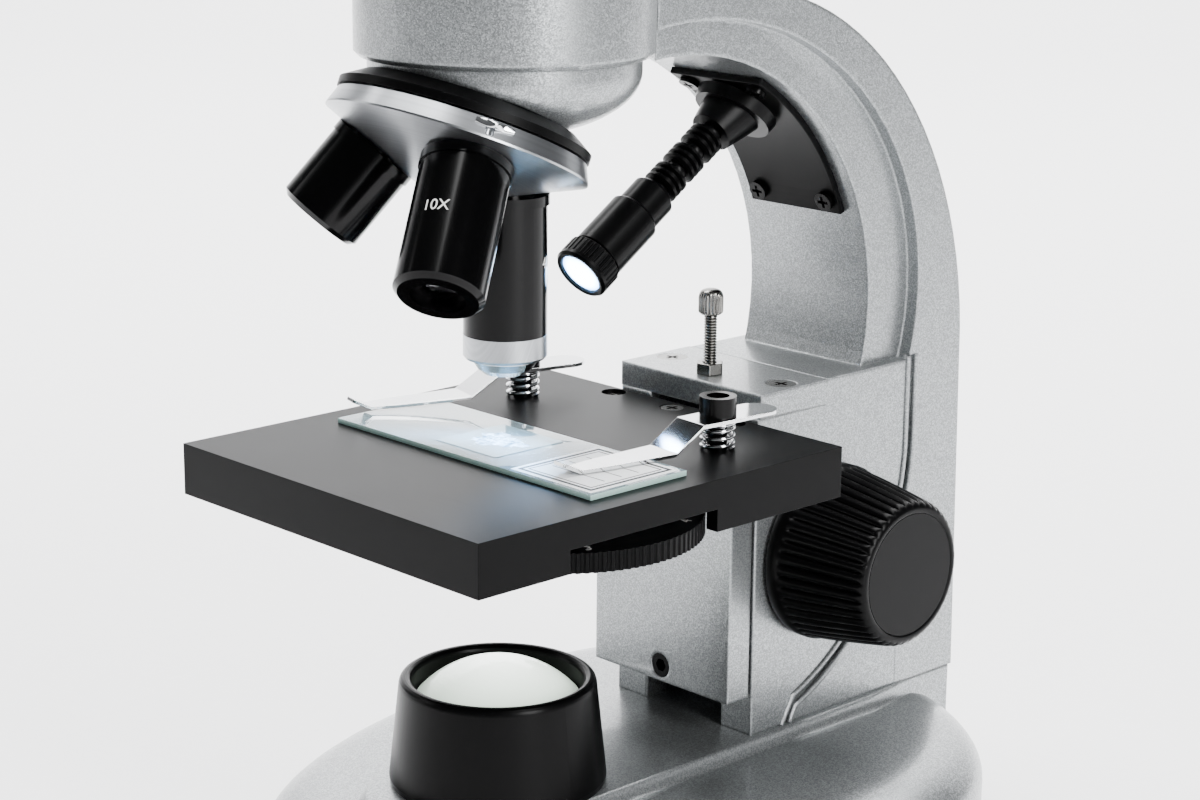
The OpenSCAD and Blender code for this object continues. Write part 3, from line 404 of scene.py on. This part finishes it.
for sub in frame["record"]["subparts"]:
    part = frame["nodes"][sub["node"]]
    part.data.materials.clear()
    part.data.materials.append(looks[sub["material_slot"]])
slots = {sub["node"]: sub["material_slot"] for sub in frame["record"]["subparts"]}
print("materials set")


def show(name, bm, mat, body, smooth=40):
    data = bpy.data.meshes.new(name)
    bmesh.ops.recalc_face_normals(bm, faces=bm.faces)
    bm.to_mesh(data)
    bm.free()
    data.shade_smooth()
    data.set_sharp_from_angle(angle=math.radians(smooth))
    data.materials.append(mat)
    obj = bpy.data.objects.new(name, data)
    bpy.context.scene.collection.objects.link(obj)
    if body:
        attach(obj, body)
    return obj


# a CAD piece with its sharp edges rounded
def softened(part, body, width, segments=3, angle=32):
    bm = bmesh.new()
    bm.from_mesh(frame["nodes"][part].data)
    bmesh.ops.remove_doubles(bm, verts=bm.verts, dist=2e-6)
    bmesh.ops.dissolve_limit(bm, angle_limit=math.radians(0.6), verts=bm.verts, edges=bm.edges)
    obj = show(part + "_soft", bm, looks[slots[part]], body, 14)
    cut = obj.modifiers.new("round", "BEVEL")
    cut.width = width * mm
    cut.segments = segments
    cut.limit_method = "ANGLE"
    cut.angle_limit = math.radians(angle)
    cut.harden_normals = True
    cut.use_clamp_overlap = True
    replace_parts(obj, part)
    return obj


# rings of points joined into a skin
def skin(bm, rings, closed=True):
    made = [[bm.verts.new(p) for p in ring] for ring in rings]
    for lower, upper in zip(made, made[1:]):
        count = len(lower)
        for i in range(count if closed else count - 1):
            j = (i + 1) % count
            bm.faces.new((lower[i], lower[j], upper[j], upper[i]))
    return made


def fan(bm, ring, point):
    middle = bm.verts.new(point)
    for i in range(len(ring)):
        bm.faces.new((ring[i], ring[(i + 1) % len(ring)], middle))


def makeBase():
    look = {"halfWidth": 62.0, "front": 110.0, "back": 60.0, "middle": 60.0, "shoulder": 19.0,
            "topInset": 15.0, "top": 29.3, "skirt": 3.0, "wall": 4.2, "steps": 160,
            "fullness": 2.3}

    def egg(inset, z):
        points = []
        for i in range(look["steps"]):
            a = 2 * math.pi * i / look["steps"]
            front = math.sin(a) < -1e-9
            power = 2 / look["fullness"] if front else 1
            length = look["front"] if front else look["back"]
            x = math.copysign(abs(math.cos(a)) ** power, math.cos(a))
            y = math.copysign(abs(math.sin(a)) ** power, math.sin(a))
            points.append(Vector(((look["halfWidth"] - inset) * x * mm,
                                  axis.y + (look["middle"] + (length - inset) * y) * mm,
                                  z * mm)))
        return points

    rings = [egg(look["wall"], 9), egg(look["wall"], look["skirt"] + 0.6),
             egg(look["wall"] - 0.8, look["skirt"]), egg(1.2, look["skirt"]),
             egg(0.35, look["skirt"] + 0.35), egg(0, look["skirt"] + 1.2), egg(0, 10),
             egg(0, look["shoulder"])]
    rise = look["top"] - 0.6 - look["shoulder"]
    for i in range(1, 15):
        a = math.pi / 2 * i / 14
        rings.append(egg(look["topInset"] * (1 - math.cos(a)),
                         look["shoulder"] + rise * math.sin(a)))
    for i in range(1, 7):
        rings.append(egg(look["topInset"] + 45 * i / 6,
                         look["top"] - 0.6 + 0.6 * math.sin(math.pi / 2 * i / 6)))
    bm = bmesh.new()
    made = skin(bm, rings)
    fan(bm, made[-1], Vector((0, axis.y + look["middle"] * mm, look["top"] * mm)))
    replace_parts(show("baseShell", bm, looks["silver_paint"], "stand", 60),
                "base_casting")


# raised strip that runs from the illuminator under the column
def makeStrip():
    look = {"halfWidth": 21.6, "rearHalf": 20.3, "nose": 30.0, "noseY": -2.0, "back": 119.9,
            "foot": 28.4}

    def outline(out, z):
        points = []
        half = look["halfWidth"] + out
        rear = look["rearHalf"] + min(out, 0.2)
        for i in range(49):
            a = math.pi + math.pi * i / 48
            points.append(Vector((half * math.cos(a) * mm,
                                  axis.y + (look["noseY"]
                                            + (look["nose"] + out) * math.sin(a)) * mm,
                                  z * mm)))
        side = [(half, 90 * t / 6) for t in range(1, 7)]
        side += [(half + (rear - half) * t / 4, 90 + 15 * t / 4) for t in range(1, 5)]
        side += [(rear, look["back"] - 0.8), (rear - 0.8, look["back"])]
        points += [Vector((x * mm, axis.y + y * mm, z * mm)) for x, y in side]
        points += [Vector((-x * mm, axis.y + y * mm, z * mm)) for x, y in reversed(side)]
        return points

    rings = [outline(0.4, 3), outline(0.4, look["foot"] - 8), outline(3.8, look["foot"] - 6)]
    for i in range(9):
        a = math.pi / 2 * i / 8
        rings.append(outline(3.4 * (1 - math.sin(a)) + 0.4,
                             look["foot"] + 3.0 * (1 - math.cos(a))))
    for i in range(1, 5):
        a = math.pi / 2 * i / 4
        rings.append(outline(0.4 - 0.6 * (1 - math.cos(a)),
                             look["foot"] + 3.0 + 0.6 * math.sin(a)))
    bm = bmesh.new()
    made = skin(bm, rings)
    bm.faces.new(made[-1])
    show("baseStrip", bm, looks["silver_paint"], "stand", 40)


# rounded rims on both edges of the curved groove in the column's sides
def makeGrooveRims():
    look = {"centre": (44.4, 90.0), "radius": 57.5, "half": 1.35, "foot": (63.4, 32.0),
            "top": 108.4, "face": 20.35, "wide": 0.75, "high": 0.45}
    for side in (-1, 1):
        bm = bmesh.new()
        for edge in (-1, 1):
            radius = look["radius"] + edge * look["half"]
            path = [(look["centre"][0] + radius, look["top"] - 1.9 * i) for i in range(10)]
            for i in range(49):
                a = math.radians(-68 * i / 48)
                path.append((look["centre"][0] + radius * math.cos(a),
                             look["centre"][1] + radius * math.sin(a)))
            path.append((look["foot"][0] + edge * look["half"], look["foot"][1]))
            rings = []
            for i, (y, z) in enumerate(path):
                back = path[max(0, i - 1)]
                ahead = path[min(len(path) - 1, i + 1)]
                along = Vector((0, ahead[0] - back[0], ahead[1] - back[1])).normalized()
                across = Vector((side, 0, 0)).cross(along)
                middle = Vector((side * look["face"], y + axis.y / mm, z))
                ring = []
                for k in range(13):
                    b = math.pi * k / 12
                    ring.append((middle + across * look["wide"] * math.cos(b)
                                 + Vector((side * look["high"] * math.sin(b), 0, 0))) * mm)
                rings.append(ring)
            made = skin(bm, rings)
            bm.faces.new(made[0])
            bm.faces.new(made[-1])
        show("grooveRims" + ("L" if side < 0 else "R"), bm, looks["silver_paint"], "stand",
             50)


# stop screw: knurled domed head on a threaded shank
def makeStopScrew():
    look = {"ribs": 22, "ribDepth": 0.28, "headLength": 5.6, "shank": 1.42, "root": 1.12,
            "pitch": 0.62}
    low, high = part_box("stop_screw")
    head = (high.x - low.x) / 2 / mm
    spot = (low + high) / 2
    top = high.z / mm
    start = top - look["headLength"]
    profile = []
    z = low.z / mm
    while z < start - look["pitch"]:
        profile += [(look["root"], z, 0), (look["shank"], z + look["pitch"] * 0.35, 0),
                    (look["shank"], z + look["pitch"] * 0.6, 0)]
        z += look["pitch"]
    profile += [(look["root"], start, 0), (head - 0.5, start, 0), (head - 0.1, start + 0.35, 0.2),
                (head, start + 0.7, 1), (head, top - 1.9, 1), (head - 0.15, top - 1.3, 0.6)]
    for i in range(1, 8):
        a = math.pi / 2 * i / 8
        profile.append(((head - 0.3) * math.cos(a), top - 1.1 + 1.1 * math.sin(a), 0))
    bm = bmesh.new()
    rings = []
    count = look["ribs"] * 8
    for r, z, rib in profile:
        ring = []
        for i in range(count):
            a = 2 * math.pi * i / count
            rr = r - look["ribDepth"] * rib * (0.5 - 0.5 * math.cos(look["ribs"] * a))
            ring.append(Vector((spot.x + rr * math.cos(a) * mm, spot.y + rr * math.sin(a) * mm,
                                z * mm)))
        rings.append(ring)
    made = skin(bm, rings)
    bm.faces.new(made[0])
    fan(bm, made[-1], Vector((spot.x, spot.y, high.z)))
    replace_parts(show("stopScrew_knurled", bm, looks["nickel_screws"], "stop_screw",
                     40), "stop_screw")


def makeKnob(side):
    look = {"flutes": 45, "root": 18.8, "tip": 16.0, "inner": 21.1, "outer": 45.0, "depth": 0.85,
            "perFlute": 10}
    count = look["flutes"] * look["perFlute"]
    profile = [(look["root"] + 0.3, look["inner"], 0), (look["root"] + 0.5, look["inner"] + 0.3, 0),
               (look["root"] + 0.5, 23.6, 0), (look["root"] + 0.2, 24.1, 0),
               (look["root"] + 0.1, 24.4, 0.2), (look["root"], 25.2, 1)]
    for i in range(1, 10):
        t = i / 9
        profile.append((look["root"] + (look["tip"] - look["root"]) * t ** 1.15,
                        25.2 + (look["outer"] - 2.2 - 25.2) * t, 1))
    profile += [(look["tip"] - 0.25, look["outer"] - 1.2, 0.6), (look["tip"] - 0.8, 44.5, 0.1),
                (look["tip"] - 1.5, 44.9, 0), (13.6, 45.0, 0), (13.3, 44.8, 0), (13.3, 43.9, 0)]
    bm = bmesh.new()
    rings = []
    for r, x, flute in profile:
        ring = []
        for i in range(count):
            a = 2 * math.pi * i / count
            wave = abs(math.sin(look["flutes"] * a / 2)) ** 0.6
            rr = r - look["depth"] * flute * (1 - wave)
            ring.append(Vector((side * x * mm, knobCentre.y + rr * math.cos(a) * mm,
                                knobCentre.z + rr * math.sin(a) * mm)))
        rings.append(ring)
    rings.insert(0, [Vector((side * look["inner"] * mm, knobCentre.y + (p.y - knobCentre.y) * 0.2,
                             knobCentre.z + (p.z - knobCentre.z) * 0.2)) for p in rings[0]])
    skin(bm, rings)
    name = "knob_right" if side > 0 else "knob_left"
    obj = show(name + "_fluted", bm, looks["satin_black"], "focus_knobs", 50)
    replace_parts(obj, name)


def makeSprings():
    look = {"radius": 3.2, "wire": 0.46, "turns": 4.2, "low": 0.5, "high": 5.4}
    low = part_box("clip_springs")[0]
    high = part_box("clip_springs")[1]
    for side in (-1, 1):
        centre = Vector((side * ((high.x - low.x) / 2 - (look["radius"] + look["wire"]) * mm),
                         (low.y + high.y) / 2, stageTop))
        steps = 150
        bm = bmesh.new()
        rings = []
        for i in range(steps + 1):
            t = i / steps
            ends = min(1, max(0, (t - 0.12) / 0.76))  # flat end turns
            a = 2 * math.pi * look["turns"] * t
            out = Vector((math.cos(a), math.sin(a), 0))
            middle = centre + out * look["radius"] * mm
            middle.z += (look["low"] + (look["high"] - look["low"]) * ends) * mm
            rings.append([middle + (out * math.cos(b) + Vector((0, 0, 1)) * math.sin(b))
                          * look["wire"] * mm
                          for b in [2 * math.pi * k / 12 for k in range(12)]])
        made = skin(bm, rings)
        bm.faces.new(made[0])
        bm.faces.new(made[-1])
        obj = show("clipCoil" + ("L" if side < 0 else "R"), bm, looks["chrome_trim"], "stage",
                   60)
        if side < 0:
            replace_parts(obj, "clip_springs")


# leaf with a rounded catch that rides on the turret's rim
def makeClickSpring():
    look = {"half": 3.9, "tall": 1.5,
            "thick": 0.4, "catch": 1.1}
    low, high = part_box("click_spring")
    spot = (low + high) / 2
    base = turretFrame()
    home = base.inverted() @ spot
    angle = math.atan2(home.y, home.x)
    radius = math.hypot(home.x, home.y) / mm
    bm = bmesh.new()
    rings = []
    for i in range(41):
        t = -1 + i / 20
        a = angle + t * look["half"] / radius
        bulge = look["catch"] * math.exp(-(t / 0.22) ** 2)
        tall = look["tall"] * (1 - 0.35 * abs(t) ** 3) / 2
        ring = []
        for b in range(12):
            c = 2 * math.pi * b / 12
            up = tall * math.copysign(abs(math.sin(c)) ** 0.5, math.sin(c))
            out = look["thick"] / 2 * math.copysign(abs(math.cos(c)) ** 0.5, math.cos(c))
            out += bulge * max(0, 1 - (up / look["tall"] * 1.6) ** 2)
            r = radius - 0.6 + out
            ring.append(base @ Vector((r * math.cos(a) * mm, r * math.sin(a) * mm,
                                       home.z + (up - 0.6) * mm)))
        rings.append(ring)
    made = skin(bm, rings)
    bm.faces.new(made[0])
    bm.faces.new(made[-1])
    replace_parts(show("clickLeaf", bm, looks["chrome_trim"], "stand", 50),
                "click_spring")


def plate(bm, low, high):
    made = bmesh.ops.create_cube(bm, size=1)["verts"]
    for v in made:
        v.co = Vector(((low[i] + high[i]) / 2 + v.co[i] * (high[i] - low[i]) for i in range(3)))
    return made


def makeSlide():
    look = {"thick": 1.1, "bevel": 0.12, "label": (14.5, 37.0), "labelHalf": 11.8,
            "slip": 9.0, "slipAt": -2.0}
    low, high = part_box("specimen_slide")
    centre = (low + high) / 2
    top = low.z + look["thick"] * mm
    bm = bmesh.new()
    plate(bm, (low.x, low.y, low.z), (high.x, high.y, top))
    bmesh.ops.bevel(bm, geom=bm.edges[:], offset=look["bevel"] * mm, segments=2,
                    affect="EDGES", profile=0.5)
    bm.normal_update()
    for face in bm.faces:
        face.material_index = 1 if abs(face.normal.z) < 0.8 else 0
    glassPlate = show("slideGlass", bm, looks["slide_glass"], "slide")
    glassPlate.data.materials.append(groundEdge())
    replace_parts(glassPlate, "specimen_slide")
    # cover slip over the specimen
    bm = bmesh.new()
    at = centre.x + look["slipAt"] * mm
    plate(bm, (at - look["slip"] * mm, centre.y - look["slip"] * mm, top + 0.06 * mm),
          (at + look["slip"] * mm, centre.y + look["slip"] * mm, high.z))
    show("coverSlip", bm, looks["slide_glass"], "slide")
    # torn piece of tissue
    bm = bmesh.new()
    rings = []
    for level, share in ((0.0, 1.0), (0.05, 0.94)):
        ring = []
        for i in range(96):
            a = 2 * math.pi * i / 96
            r = share * (5.2 + 0.9 * math.sin(3 * a + 1) + 0.6 * math.sin(7 * a)
                         + 0.35 * math.sin(17 * a + 2))
            ring.append(Vector((at + 1.15 * r * math.cos(a) * mm,
                                centre.y + 0.8 * r * math.sin(a) * mm, high.z + level * mm)))
        rings.append(ring)
    made = skin(bm, rings)
    bm.faces.new(made[0])
    bm.faces.new(made[-1])
    show("specimen", bm, tissue(), "slide")
    # paper label with a printed frame at the right end
    bm = bmesh.new()
    a, b = (centre.x + x * mm for x in look["label"])
    half = look["labelHalf"] * mm
    plate(bm, (a, centre.y - half, top), (b, centre.y + half, top + 0.05 * mm))
    show("slideLabel", bm, paper, "slide")
    bm = bmesh.new()
    for inset, wide in ((1.0, 0.7), (2.4, 0.3)):
        i, w = inset * mm, wide * mm
        z = (top + 0.05 * mm, top + 0.08 * mm)
        for x in (a + i, b - i - w):
            plate(bm, (x, centre.y - half + i, z[0]), (x + w, centre.y + half - i, z[1]))
        for y in (centre.y - half + i, centre.y + half - i - w):
            plate(bm, (a + i + w, y, z[0]), (b - i - w, y + w, z[1]))
    for row in range(3):
        y = centre.y + (4.5 - 4.5 * row) * mm
        plate(bm, (a + 4 * mm, y, top + 0.05 * mm), (b - 4 * mm, y + 0.2 * mm, top + 0.08 * mm))
    show("labelPrint", bm, ink, "slide")


# raised print: put maps (x across, y up, z out) in metres to the row frame
def lettering(name, words, size, mat, body, put):
    curve = bpy.data.curves.new(name, "FONT")
    curve.body = words
    curve.size = size * mm
    curve.extrude = 0.02 * mm
    curve.align_x = "CENTER"
    curve.align_y = "CENTER"
    holder = bpy.data.objects.new(name, curve)
    bpy.context.scene.collection.objects.link(holder)
    bpy.context.view_layer.update()
    data = bpy.data.meshes.new_from_object(
        holder.evaluated_get(bpy.context.evaluated_depsgraph_get()))
    bpy.data.objects.remove(holder)
    bm = bmesh.new()
    bm.from_mesh(data)
    bpy.data.meshes.remove(data)
    bmesh.ops.subdivide_edges(bm, edges=[e for e in bm.edges if e.calc_length() > 0.4 * mm],
                              cuts=2)
    for v in bm.verts:
        v.co = put(v.co.copy())
    return show(name, bm, mat, body)


def objectiveMarks():
    # turn of the objective, distance below the apex, facing, barrel radius
    look = {"size": 3.1, "lift": 0.015,
            "marks": {"10X": (240, 52.2, 139, 8.6), "4X": (120, 46.5, 60, 8.6),
                      "40X": (0, 52, 128, 8.35)}}
    for words, (turn, along, facing, radius) in look["marks"].items():
        base = turretFrame(turn)

        def put(p, base=base, along=along, facing=facing, radius=radius):
            a = math.radians(facing) + p.x / (radius * mm)
            r = (radius + look["lift"]) * mm + p.z
            return base @ Vector((r * math.sin(a), -r * math.cos(a), -along * mm + p.y))

        lettering("mark" + words, words, look["size"], whitePrint, "turret", put)


def discMarks():
    look = {"count": 6, "radius": 26.2, "size": 3.4}
    low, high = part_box("diaphragm_disc")
    centre = (low + high) / 2
    for i in range(look["count"]):
        turn = math.radians(180 + i * 60 + 30)

        def put(p, turn=turn):
            r = look["radius"] * mm - p.y
            spot = Vector((math.cos(turn), math.sin(turn), 0)) * r
            side = Vector((math.sin(turn), -math.cos(turn), 0)) * -p.x
            return Vector((centre.x, centre.y, high.z + 0.01 * mm + p.z)) + spot + side

        lettering("discMark%d" % (i + 1), str(i + 1), look["size"], whitePrint, "diaphragm",
                  put)


def frontLenses():
    # turn and length of each barrel; the profile is radius and height about the front
    look = {"seat": 38.6, "inset": 3.0, "barrels": {"4x": (120, 17.7), "10x": (240, 28.3)},
            "profile": [(0.2, -1.3), (1.6, -1.1), (2.6, -0.7), (3.3, -0.1), (3.3, 1.5), (0.2, 1.5)]}
    for name, (turn, length) in look["barrels"].items():
        base = turretFrame(turn)
        z = -(look["seat"] + length - look["inset"])
        rings = []
        for r, drop in look["profile"]:
            rings.append([base @ Vector((r * math.cos(a) * mm, r * math.sin(a) * mm,
                                         (z + drop) * mm))
                          for a in [2 * math.pi * k / 48 for k in range(48)]])
        bm = bmesh.new()
        made = skin(bm, rings)
        bm.faces.new(made[0])
        bm.faces.new(made[-1])
        show("frontLens" + name, bm, looks["optic_glass"], "turret", 30)


makeBase()
makeStrip()
print("base built")
makeGrooveRims()
makeStopScrew()
for side in (1, -1):
    makeKnob(side)
makeSprings()
makeClickSpring()
makeSlide()
objectiveMarks()
discMarks()
frontLenses()
print("detail pieces built")
# width in mm of the rounding on each piece's edges, and the body it rides on
roundedEdges = {"arm_casting": ("stand", 0.7), "cover_plate": ("stand", 0.6),
                "focus_block": ("stage", 0.6), "stage_plate": ("stage", 0.7),
                "head_drum": ("stand", 0.5), "clip_left": ("clip_left", 0.12),
                "clip_right": ("clip_right", 0.12), "switch_frame": ("stand", 0.4),
                "stop_nut": ("stand", 0.25), "lamp_plate": ("stand", 0.25)}
for part, (body, width) in roundedEdges.items():
    softened(part, body, width)
print("edges rounded")


def makeFloor():
    look = {"reach": 3.0, "rise": 2.2, "bend": 0.5, "behind": 1.5}
    mat, tree, shader = material("studioPaper", Specular_IOR_Level=0.3)
    grain = use(tree, "grain", Scale=260.0, Strength=0.05, Depth=0.0002)
    haze = use(tree, "haze", Base=0.6, Patches=0.1, Scratches=0.0)
    tree.links.new(mixColour(tree, grain.outputs["Mask"], (0.86, 0.86, 0.87, 1),
                             (0.9, 0.9, 0.905, 1)), shader.inputs["Base Color"])
    tree.links.new(grain.outputs["Normal"], shader.inputs["Normal"])
    tree.links.new(haze.outputs["Roughness"], shader.inputs["Roughness"])
    profile = [(-look["reach"], 0.0)]
    for i in range(17):
        a = math.pi / 2 * i / 16
        profile.append((look["behind"] + look["bend"] * math.sin(a),
                        look["bend"] * (1 - math.cos(a))))
    profile.append((look["behind"] + look["bend"], look["rise"]))
    bm = bmesh.new()
    turn = Matrix.Rotation(math.radians(46), 3, "Z")
    skin(bm, [[turn @ Vector((x, d, z)) for x in (-look["reach"], look["reach"])]
              for d, z in profile], closed=False)
    floor = show("studioFloor", bm, mat, None, 60)


def areaLight(name, at, aim, size, power, colour=(1, 1, 1)):
    data = bpy.data.lights.new(name, "AREA")
    data.shape = "RECTANGLE"
    data.size, data.size_y = size
    data.energy = power
    data.color = colour
    obj = bpy.data.objects.new(name, data)
    obj.location = at
    obj.rotation_euler = (Vector(aim) - Vector(at)).to_track_quat("-Z", "Y").to_euler()
    bpy.context.scene.collection.objects.link(obj)


def makeLights():
    # place, aim, size and watts of each soft box
    look = {"boxes": {"topBox": ((-0.1, 0.0, 1.3), (0, 0, 0.14), (0.9, 0.9), 30),
                      "rightBox": ((1.15, -0.12, 0.6), (0, 0, 0.14), (0.4, 0.9), 24),
                      "leftBox": ((-0.95, -0.8, 0.5), (0, 0, 0.14), (0.35, 0.8), 2.5),
                      "wallBox": ((-0.6, 0.65, 1.7), (-1.3, 1.35, 0.2), (2.4, 1.2), 150)},
            "sky": (0.95, 0.97, 1, 1), "skyStrength": 0.12, "beamWatts": 1.1,
            "beamColour": (0.35, 0.62, 1), "beamSpread": 75, "beamSlope": 34.1}
    for name, (at, aim, size, power) in look["boxes"].items():
        areaLight(name, at, aim, size, power)
    world = bpy.data.worlds.new("studioWorld")
    bpy.context.scene.world = world
    world.use_nodes = True
    sky = world.node_tree.nodes["Background"]
    sky.inputs["Color"].default_value = look["sky"]
    sky.inputs["Strength"].default_value = look["skyStrength"]
    # beam of the gooseneck lamp
    lens = sum(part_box("lamp_lens"), Vector()) / 2
    beam = bpy.data.lights.new("lampBeam", "SPOT")
    beam.energy = look["beamWatts"]
    beam.color = look["beamColour"]
    beam.spot_size = math.radians(look["beamSpread"])
    beam.spot_blend = 0.8
    beam.shadow_soft_size = 0.003
    obj = bpy.data.objects.new("lampBeam", beam)
    slope = math.radians(look["beamSlope"])
    away = Vector((0, -math.cos(slope), -math.sin(slope)))
    obj.location = lens + away * 2.5 * mm
    obj.rotation_euler = away.to_track_quat("-Z", "Y").to_euler()
    bpy.context.scene.collection.objects.link(obj)


def makeCamera():
    look = {"at": (0.37353, axis.y - 0.33156, 0.23957), "aim": (-0.69965, 0.67008, -0.24796),
            "roll": 0.52, "lens": 77.58}
    data = bpy.data.cameras.new("camera")
    data.lens = look["lens"]
    data.sensor_width = 36
    data.clip_start = 0.01
    obj = bpy.data.objects.new("camera", data)
    turn = Vector(look["aim"]).to_track_quat("-Z", "Y").to_matrix().to_4x4()
    obj.matrix_world = (Matrix.Translation(look["at"]) @ turn
                        @ Matrix.Rotation(math.radians(look["roll"]), 4, "Z"))
    bpy.context.scene.collection.objects.link(obj)
    bpy.context.scene.camera = obj


makeFloor()
makeLights()
makeCamera()
print("studio ready")
